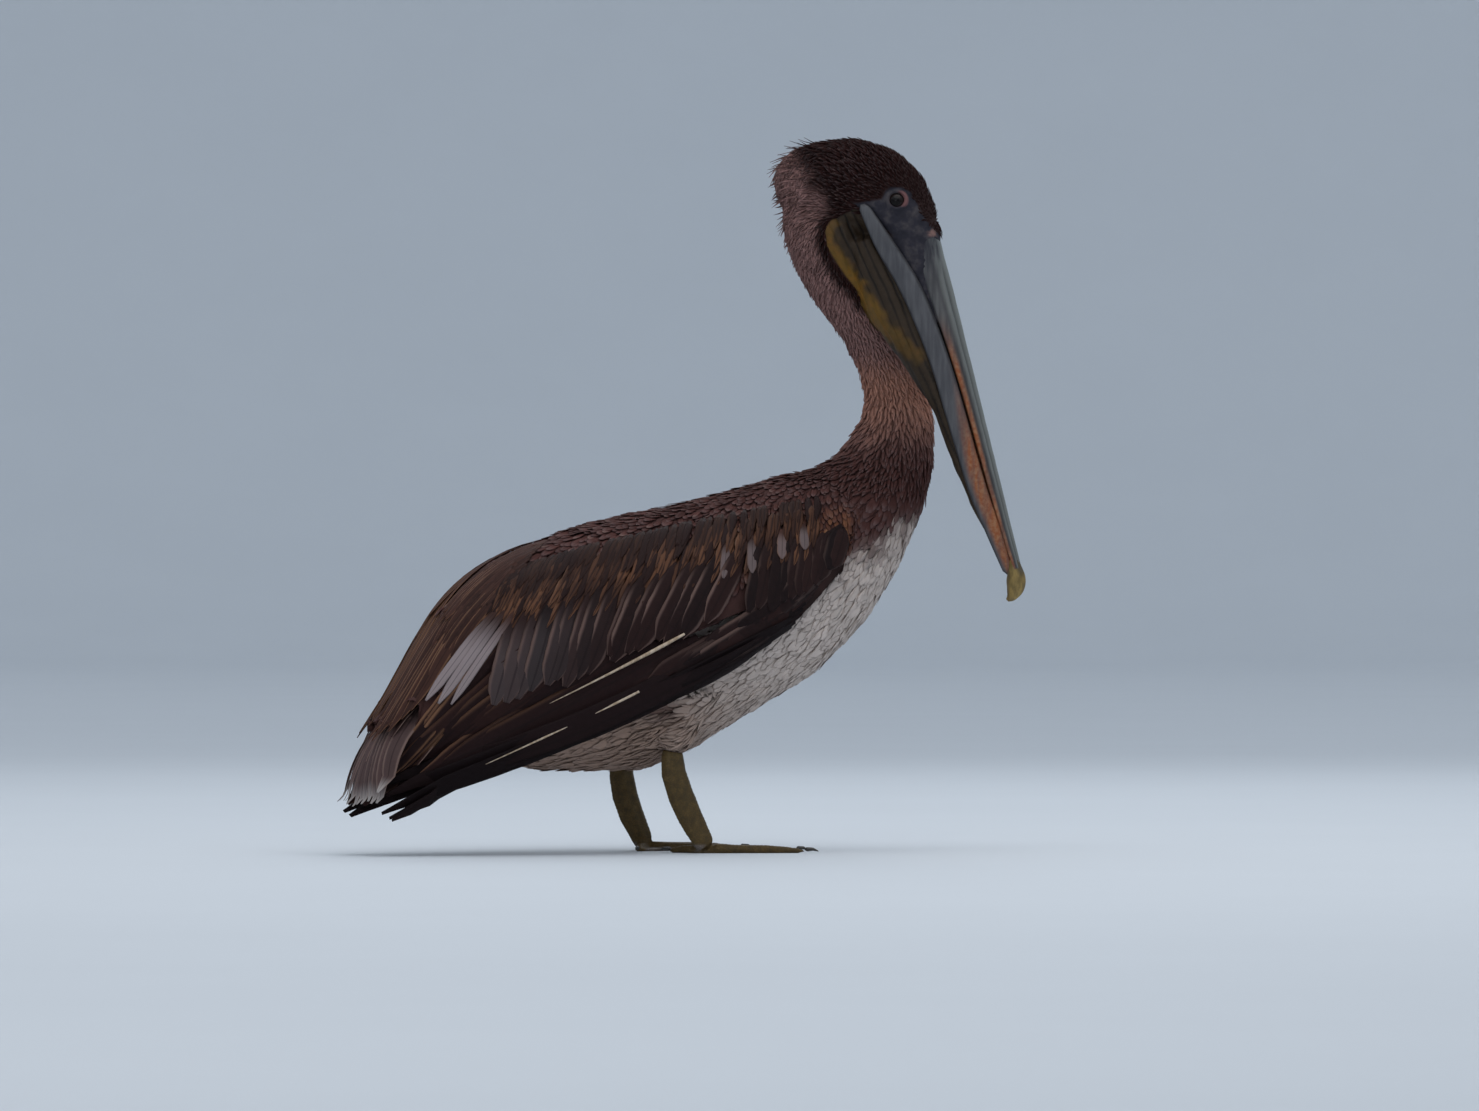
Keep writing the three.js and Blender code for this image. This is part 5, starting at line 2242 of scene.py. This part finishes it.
@dataclass(frozen=True)
class Row:
    """A row of long feathers between a line of roots and a line of tips, on the bird's right side in mm."""

    roots: tuple[Triple, ...]
    tips: tuple[Triple, ...]
    count: int
    width: float
    cut: Cut
    heights: tuple[float, float] = (-2.5, -0.6)
    pale: tuple[float, ...] = (0.0,)
    fringe: float = 0.5
    tipped: float = 0.0
    warmth: float = 1.0  # how much of the finish's glow a streaky row shows
    jitter: float = 0.04
    layer: float = 0.0  # how much higher each feather of the row lies than the one before
    roll: float = 0.075  # lifts the rear edge of each feather over the next one
    quill_at: float = 0.0  # where the shaft lies across the vane
    outward: Triple = (0.0, 1.0, 0.25)  # away from a left wing

    def plumes(self, left: bool, rng: np.random.Generator) -> Plumes:
        """The row's feathers on one side.

        Args:
            left: Whether they go on the bird's left.
            rng: The random numbers.

        Returns:
            The batch of feathers.
        """
        share = (np.arange(self.count) + 0.5) / self.count
        share = np.clip(share + rng.normal(0, self.jitter / max(self.count, 1) * 4, self.count), 0, 1)
        roots = along_curve(self.roots, share) * MM
        tips = along_curve(self.tips, share) * MM
        if left:
            roots, tips = mirrored(roots), mirrored(tips)
        ways = tips - roots
        lengths = np.linalg.norm(ways, axis=1) * np.clip(rng.normal(1.02, self.jitter, self.count), 0.9, 1.12)
        rise = np.arange(self.count) * self.layer * MM
        outward = unit(np.array(self.outward) * [1, 1 if left else -1, 1])
        values = {
            "pale": np.interp(share, np.linspace(0, 1, len(self.pale)), self.pale),
            "fringe": np.clip(rng.normal(self.fringe, 0.18 * (self.fringe > 0), self.count), 0, 1),
            "tipped": np.full(self.count, self.tipped),
            "warmth": np.full(self.count, self.warmth),
            "quill_at": np.full(self.count, self.quill_at * (-1 if left else 1)),
        }
        return Plumes(
            roots,
            unit(ways),
            lengths,
            self.width * MM * np.clip(rng.normal(1, 0.06, self.count), 0.85, 1.15),
            self.heights[0] * MM + rise,
            self.heights[1] * MM + rise,
            values,
            rolls=self.roll * (1 if left else -1) + rng.normal(0, 0.015, self.count),
            tips=roots + unit(ways) * lengths[:, None],
            outward=outward,
        )


LONG = Cut((0.45, 0.8, 0.95, 1.0, 0.98, 0.9, 0.7, 0.12), 22, 11, 0.07, 0.3 * MM, 0.05, 1.5, 0.35 * MM)
QUILL = Cut((0.5, 0.85, 1.0, 1.0, 1.0, 0.92, 0.72, 0.14), 26, 11, 0.06, 0.3 * MM, 0.04, 1.4, 0.4 * MM)
COVERT = Cut((0.45, 0.85, 1.0, 1.0, 0.98, 0.88, 0.25), 14, 9, 0.08, 0.25 * MM, 0.07, 1.6, 0.25 * MM)
SHORT = Cut(POINTED, 7, 7, 0.10, 0.22 * MM, 0.35, 1.3)
DROP = Cut(ROUNDED, 12, 9, 0.10, 0.3 * MM, 0.04, 1.5)
SHAFT = Cut((0.7, 1.0, 0.9, 0.7, 0.5, 0.35, 0.2), 24, 7, 0.7, 0.2 * MM)


# The rows of each piece of the right wing, from the lowest layer to the highest.
WING_ROWS: dict[str, tuple[Row, ...]] = {
    "primary": (
        Row(
            ((96, -79, 226), (88, -80, 212), (80, -82, 198), (70, -83, 184), (62, -83, 177)),
            ((-258, -18, 82), (-274, -20, 60), (-281, -22, 45),
             (-274, -22, 36), (-258, -26, 40), (-244, -29, 47)),
            10, 27, QUILL, (-2.6, -1.6), fringe=0.0, jitter=0.006, roll=-0.05, quill_at=0.4,
        ),
    ),
    "secondary": (
        Row(
            ((-150, -62, 196), (-110, -72, 192), (-70, -78, 190), (-30, -84, 188), (10, -84, 190)),
            ((-287, -22, 54), (-270, -20, 60), (-250, -22, 70), (-228, -28, 84), (-196, -40, 96)),
            12, 26, LONG, (-3.0, -1.3), fringe=0.3,
        ),
        Row(
            ((-165, -52, 214), (-155, -60, 208)),
            ((-284, -14, 60), (-262, -22, 72)),
            4, 20, LONG, (-2.6, -1.2), pale=(0.0,), fringe=0.8,
        ),
    ),
    "covert": (
        Row(
            ((112, -75, 240), (98, -79, 226), (82, -81, 214),
             (66, -83, 202), (44, -85, 196), (24, -86, 192)),
            ((16, -86, 178), (-2, -87, 168), (-20, -87, 160),
             (-38, -87, 153), (-56, -85, 146), (-66, -83, 150)),
            11, 23, COVERT, (-1.6, -0.5), fringe=0.2,
        ),
        Row(
            ((146, -60, 288), (138, -66, 270), (122, -72, 252), (102, -77, 236), (80, -81, 222)),
            ((84, -80, 226), (62, -84, 212), (40, -85, 200), (14, -87, 188), (-14, -87, 176)),
            11, 22, COVERT, (-1.3, -0.1), fringe=0.25,
        ),
        Row(
            ((-176, -55, 206), (-148, -62, 218), (-121, -66, 226), (-93, -69, 236),
             (-61, -71, 243), (-23, -73, 253), (11, -71, 261), (45, -69, 268)),
            ((-198, -54, 130), (-172, -63, 141), (-147, -71, 151), (-124, -76, 158),
             (-98, -81, 169), (-70, -85, 180), (-37, -87, 190), (0, -86, 202)),
            17, 22, COVERT, (-0.6, 0.9), pale=(0.16, 0.12, 0.08, 0.03, 0.0, 0.0, 0.0, 0.0), fringe=0.95,
        ),
        Row(
            ((56, -66, 272), (90, -66, 276), (122, -62, 280), (146, -56, 284)),
            ((30, -84, 210), (72, -82, 220), (104, -76, 236), (130, -66, 254)),
            11, 19, COVERT, (-0.4, 0.9), fringe=0.25,
        ),
    ),
    "tertial": (
        Row(
            ((-130, 6, 268), (-146, -10, 259), (-160, -26, 246)),
            ((-264, 12, 112), (-264, -4, 108), (-256, -20, 110)),
            12, 14, LONG, (-1.6, 0.0), pale=(0.0,), fringe=1.0,
            layer=0.1, jitter=0.05, outward=(-0.5, 0.5, 0.8),
        ),
        Row(
            ((-116, 4, 276), (-138, -16, 264), (-158, -34, 244)),
            ((-214, 4, 190), (-220, -14, 180), (-224, -32, 164)),
            13, 10.5, COVERT, (-1.6, 0.8), pale=(0.0,), fringe=1.0,
            layer=0.08, jitter=0.08, outward=(-0.4, 0.6, 0.8),
        ),
        Row(
            ((-186, -41, 214), (-176, -47, 214), (-165, -53, 212)),
            ((-249, -29, 137), (-236, -39, 133), (-222, -47, 133)),
            3, 9.8, DROP, (1.0, 3.2), pale=(0.85,), fringe=0.1, jitter=0.0, roll=0.0,
        ),
        Row(
            ((20, -68, 274), (48, -66, 280), (76, -66, 284), (104, -60, 290)),
            ((8, -80, 238), (40, -76, 246), (68, -72, 252), (98, -68, 262)),
            4, 10.0, DROP, (0.2, 2.1), pale=(0.34,), fringe=0.3, jitter=0.11, roll=0.0,
        ),
    ),
    "median_covert": (
        Row(
            ((-184, -44, 214), (-150, -58, 226), (-114, -64, 239),
             (-59, -68, 250), (-2, -70, 262), (59, -67, 274), (122, -58, 284)),
            ((-208, -48, 180), (-174, -63, 192), (-138, -69, 204),
             (-81, -75, 216), (-22, -78, 230), (42, -76, 244), (112, -66, 258)),
            46, 9.5, SHORT, (-0.6, 1.5), fringe=0.8, jitter=0.09,
        ),
        Row(
            ((-182, -38, 226), (-150, -50, 239), (-114, -57, 252),
             (-59, -62, 263), (-2, -65, 276), (59, -62, 287), (124, -52, 296)),
            ((-206, -44, 193), (-174, -58, 206), (-138, -64, 218),
             (-81, -70, 230), (-22, -73, 243), (44, -71, 257), (114, -62, 270)),
            50, 9.0, SHORT, (-0.5, 1.6), fringe=0.8, jitter=0.1,
        ),
        Row(
            ((-178, -32, 238), (-150, -42, 251), (-114, -50, 263),
             (-59, -56, 275), (-2, -59, 288), (59, -56, 298), (126, -46, 306)),
            ((-202, -39, 206), (-172, -52, 219), (-136, -59, 231),
             (-79, -65, 243), (-20, -68, 256), (46, -66, 269), (116, -57, 281)),
            54, 8.5, SHORT, (-0.5, 1.6), fringe=0.5, jitter=0.1, warmth=0.55,
        ),
        Row(
            ((-170, -24, 249), (-150, -33, 262), (-114, -42, 274),
             (-59, -49, 286), (-2, -52, 299), (59, -48, 308), (128, -38, 315)),
            ((-196, -33, 218), (-170, -45, 231), (-134, -52, 243),
             (-77, -59, 255), (-18, -62, 268), (48, -60, 280), (118, -50, 291)),
            58, 8.0, SHORT, (-2.4, 1.7), fringe=0.25, jitter=0.12, warmth=0.16,
        ),
    ),
}  # fmt: skip


@dataclass
class Wing:
    """The long feathers of one folded wing."""

    left: bool
    seed: int
    shaft_roots: tuple[Triple, ...] = ((-26, -87, 193), (-68, -84, 143), (-72, -82, 133))
    shaft_tips: tuple[Triple, ...] = ((-146, -68, 132), (-200, -55, 80), (-150, -66, 100))

    def build(self, surface: Surface) -> list[bpy.types.Object]:
        """Builds the wing's pieces.

        Args:
            surface: The form of the folded wings.

        Returns:
            The pieces.
        """
        rng = np.random.default_rng(self.seed)
        side = "left" if self.left else "right"
        finishes = {
            "primary": VaneFinish(
                f"primary_vane_{side}", BLACK_BROWN, (0.017, 0.0075, 0.0075), CHOCOLATE, 0.7
            ),
            "secondary": VaneFinish(f"secondary_vane_{side}", CHOCOLATE, (0.034, 0.0135, 0.0115), GOLD_TIP),
            "covert": VaneFinish(f"covert_vane_{side}", BLACK_BROWN, (0.033, 0.0135, 0.0115), PALE_EDGE),
            "tertial": VaneFinish(
                f"tertial_vane_{side}", (0.025, 0.0105, 0.0085), (0.082, 0.034, 0.024), GOLD_TIP
            ),
            "median_covert": VaneFinish(
                f"median_vane_{side}",
                (0.020, 0.0085, 0.0075),
                (0.140, 0.061, 0.032),
                (0.24, 0.135, 0.090),
                streaky=True,
            ),
        }
        pieces = []
        for kind, rows in WING_ROWS.items():
            parts = MeshParts(f"{kind}_vanes_{side}")
            total = sum(row.count for row in rows)
            cells = math.ceil(math.sqrt(total))
            start = 0
            for row in rows:
                plumes = row.plumes(self.left, rng)
                numbers = np.arange(start, start + row.count)
                start += row.count
                plumes.places = (np.stack([numbers % cells, numbers // cells], 1) + 0.5) / cells
                plumes.patch = 0.9 / cells
                plumes.grow(parts, surface, row.cut, rng)
            piece = parts.make()
            piece.data.materials.append(finishes[kind].material())
            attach(piece, BODY)
            if kind == "primary":
                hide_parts(f"primaries_{side}")
            pieces.append(piece)
        pieces.append(self.shafts(surface, rng))
        return pieces

    def shafts(self, surface: Surface, rng: np.random.Generator) -> bpy.types.Object:
        """Builds the bare cream shafts that show along the primaries.

        Args:
            surface: The form of the folded wings.
            rng: The random numbers.

        Returns:
            The piece.
        """
        side = "left" if self.left else "right"
        roots = np.array(self.shaft_roots) * MM
        tips = np.array(self.shaft_tips) * MM
        if self.left:
            roots, tips = mirrored(roots), mirrored(tips)
        ways = tips - roots
        plumes = Plumes(
            roots,
            unit(ways),
            np.linalg.norm(ways, axis=1),
            np.array([3.4, 3.4, 1.8]) * MM,
            np.array([3.2, 3.4, 3.0]) * MM,
            np.array([1.8, 2.0, 1.8]) * MM,
            {"patch": np.zeros(3)},
            places=np.array([[0.17, 0.5], [0.5, 0.5], [0.83, 0.5]]),
            patch=0.3,
            tips=tips,
            outward=unit(np.array([0.0, 1.0 if self.left else -1.0, 0.25])),
        )
        parts = MeshParts(f"bare_shafts_{side}")
        plumes.grow(parts, surface, SHAFT, rng)
        piece = parts.make()
        finish = HornFinish(f"shaft_horn_{side}", (0.34, 0.24, 0.15), (0.62, 0.50, 0.38), 0.5)
        piece.data.materials.append(finish.material())
        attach(piece, BODY)
        return piece


@dataclass
class Tail:
    """The fan of tail feathers."""

    root: Triple = (-196, 11.3, 150)
    tip: Triple = (-296, 11.3, 42)
    spread: tuple[float, float] = (15, 50)
    count: int = 14
    across: int = 6  # cells along each side of the bake map
    outward: Triple = (-0.85, 0.0, 0.5)  # away from the tail's upper side
    seed: int = 77

    def build(self) -> bpy.types.Object:
        """Builds the piece.

        Returns:
            The piece, dressed and tied to the body.
        """
        rng = np.random.default_rng(self.seed)
        form = node_copy(("tail",), "tail_form")
        remesh(form, 1.8 * MM, 3)
        surface = Surface(form)
        drop(form)
        share = np.linspace(-1, 1, self.count)
        roots = np.array([np.add(self.root, (0, s * self.spread[0], 0)) for s in share]) * MM
        tips = np.array([np.add(self.tip, (abs(s) * 8, s * self.spread[1], abs(s) * 4)) for s in share]) * MM
        ways = tips - roots
        order = np.abs(share)
        count = self.count
        values = {"pale": 0.08, "fringe": 0.9, "tipped": 0.5, "quill_at": 0.0}
        plumes = Plumes(
            roots,
            unit(ways),
            np.linalg.norm(ways, axis=1),
            np.full(count, 19 * MM),
            -0.4 * MM - order * 1.2 * MM,
            -0.3 * MM - order * 1.0 * MM,
            {key: np.full(count, number) for key, number in values.items()},
            rolls=np.sign(share) * 0.05,
            tips=tips + rng.normal(0, 1.2, tips.shape) * MM * [1, 0, 1],
            outward=unit(np.array(self.outward)),
        )
        plumes.places, plumes.patch = self.cells(0, count)
        parts = MeshParts("rectrices")
        plumes.grow(parts, surface, LONG, rng)
        self.coverts(parts, surface, rng)
        piece = parts.make()
        finish = VaneFinish("tail_vane", (0.040, 0.020, 0.018), (0.095, 0.048, 0.042), (0.26, 0.17, 0.14))
        piece.data.materials.append(finish.material())
        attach(piece, BODY)
        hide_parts("tail")
        return piece

    def cells(self, start: int, count: int) -> tuple[np.ndarray, float]:
        """The bake map's cells for some of the tail's feathers.

        Args:
            start: The first feather's number.
            count: How many there are.

        Returns:
            The middles of the cells and the width of a feather's patch.
        """
        numbers = np.arange(start, start + count)
        places = (np.stack([numbers % self.across, numbers // self.across], 1) + 0.5) / self.across
        return places, 0.9 / self.across

    def coverts(self, parts: MeshParts, surface: Surface, rng: np.random.Generator) -> None:
        """Adds the shorter feathers that lie over the base of the tail.

        Args:
            parts: The tail so far.
            surface: The form of the tail.
            rng: The random numbers.
        """
        start = self.count
        for low, count, reach in ((0.0, 9, 0.62), (-12 * MM, 8, 0.42)):
            share = np.linspace(-1, 1, count)
            places, patch = self.cells(start, count)
            start += count
            root = np.array(self.root) * MM + [-low * 0.5, 0, -low]
            tip = root + (np.array(self.tip) * MM - root) * reach
            near, far = share * self.spread[0] * 1.5 * MM, share * self.spread[1] * 0.75 * MM
            roots = root + np.stack([0 * share, near, -np.abs(share) * 3 * MM], 1)
            tips = tip + np.stack([np.abs(share) * 5 * MM, far, np.abs(share) * 2 * MM], 1)
            tips = tips + rng.normal(0, 2.0, tips.shape) * MM * [1, 0.5, 1]
            ways = tips - roots
            values = {"pale": 0.0, "fringe": 0.9, "tipped": 0.0, "quill_at": 0.0}
            plumes = Plumes(
                roots,
                unit(ways),
                np.linalg.norm(ways, axis=1),
                np.full(count, 17 * MM),
                1.0 * MM - np.abs(share) * 0.8 * MM,
                1.6 * MM - np.abs(share) * 0.8 * MM,
                {key: np.full(count, number) for key, number in values.items()},
                places=places,
                patch=patch,
                tips=tips,
                outward=unit(np.array(self.outward)),
            )
            plumes.grow(parts, surface, COVERT, rng)


# ---------------------------------------------------------------- studio


@dataclass
class Studio:
    """The plain floor, the soft lights and the camera."""

    aim: Triple = (0.0578, -0.0234, 0.261)
    distance: float = 10.0
    turn: float = math.radians(-25)
    lens: float = 276.6
    flat: float = 17.0
    curve: float = 5.0
    wall: float = 14.0

    def build(self) -> None:
        """Builds floor, lights and camera."""
        parts = MeshParts("floor")
        around, steps = 128, 28
        bend = np.linspace(0, math.pi / 2, steps)
        radii = np.concatenate([np.geomspace(0.4, self.flat, 16), self.flat + self.curve * np.sin(bend[1:])])
        rises = np.concatenate([np.zeros(16), self.curve * (1 - np.cos(bend[1:]))])
        radii, rises = np.append(radii, radii[-1]), np.append(rises, self.wall)
        angles = np.linspace(0, 2 * math.pi, around, endpoint=False)
        ring = np.stack([np.cos(angles), np.sin(angles), 0 * angles], 1)
        points = (radii[:, None, None] * ring + rises[:, None, None] * UP).reshape(-1, 3)
        rows = len(radii)
        quads = np.roll(ring_quads(rows, around)[:, ::-1], 1, axis=1)  # the other way round, to face up
        middle = [[rows * around, k, (k + 1) % around] for k in range(around)]
        parts.add(np.vstack([points, [[0.0, 0.0, 0.0]]]), quads, middle)
        floor = parts.make()
        floor.data.materials.append(FloorFinish().material())
        scene = bpy.context.scene
        scene.view_settings.view_transform = "Standard"
        world = bpy.data.worlds.new("studio")
        world.use_nodes = True
        backdrop = world.node_tree.nodes["Background"]
        backdrop.inputs[0].default_value = (0.86, 0.92, 1.0, 1.0)
        backdrop.inputs[1].default_value = 0.8
        scene.world = world
        self.lamp("overhead", (0.2, -0.6, 3.2), 3.4, 34.0, (1.0, 0.99, 0.98))
        self.lamp("front", (-2.6, -4.2, 2.2), 2.4, 18.0, (1.0, 0.98, 0.96))
        self.lamp("back", (1.8, 2.6, 2.6), 2.0, 16.0, (0.94, 0.97, 1.0))
        camera = bpy.data.objects.new("camera", bpy.data.cameras.new("camera"))
        scene.collection.objects.link(camera)
        camera.data.lens = self.lens
        camera.data.sensor_width = 36.0
        camera.data.clip_end = 100.0
        away = Vector((math.sin(self.turn), -math.cos(self.turn), 0)) * self.distance
        camera.location = Vector(self.aim) + away
        camera.rotation_euler = (math.pi / 2, 0.0, self.turn)
        scene.camera = camera

    def lamp(self, name: str, place: Triple, size: float, power: float, colour: Colour) -> None:
        """Adds one soft lamp that faces the bird.

        Args:
            name: The lamp's name.
            place: Where it hangs.
            size: Its width in metres.
            power: Its power in watts.
            colour: The colour of its light.
        """
        light = bpy.data.lights.new(name, "AREA")
        light.shape = "DISK"
        light.size = size
        light.energy = power
        light.color = colour
        thing = bpy.data.objects.new(name, light)
        thing.location = place
        aim = Vector((0.0, 0.0, 0.3)) - Vector(place)
        thing.rotation_euler = aim.to_track_quat("-Z", "Y").to_euler()
        bpy.context.scene.collection.objects.link(thing)


def report(pieces: Sequence[bpy.types.Object]) -> None:
    """Logs the name and size of each piece.

    Args:
        pieces: The pieces to report.
    """
    for piece in pieces:
        piece.data.calc_loop_triangles()
        LOG.info("%s: %d triangles", piece.name, len(piece.data.loop_triangles))


def main() -> None:
    """Builds the bird and the studio round it."""
    logging.basicConfig(level=logging.INFO, format="%(message)s")
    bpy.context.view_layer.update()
    Studio().build()
    skin = Skin().build()
    report([skin])
    report([UpperBill().build(), LowerBill().build(), Nail().build(), Eyes().build(), Claws().build()])
    report(Coat(skin).build())
    form = node_copy(("trunk", "wing_left", "wing_right", "primaries_left", "primaries_right"), "wing_form")
    remesh(form, 2.5 * MM, 4)
    folded = Surface(form)
    drop(form)
    report(Wing(False, 101).build(folded))
    report(Wing(True, 202).build(folded))
    report([Tail().build()])


if __name__ == "__main__":
    main()
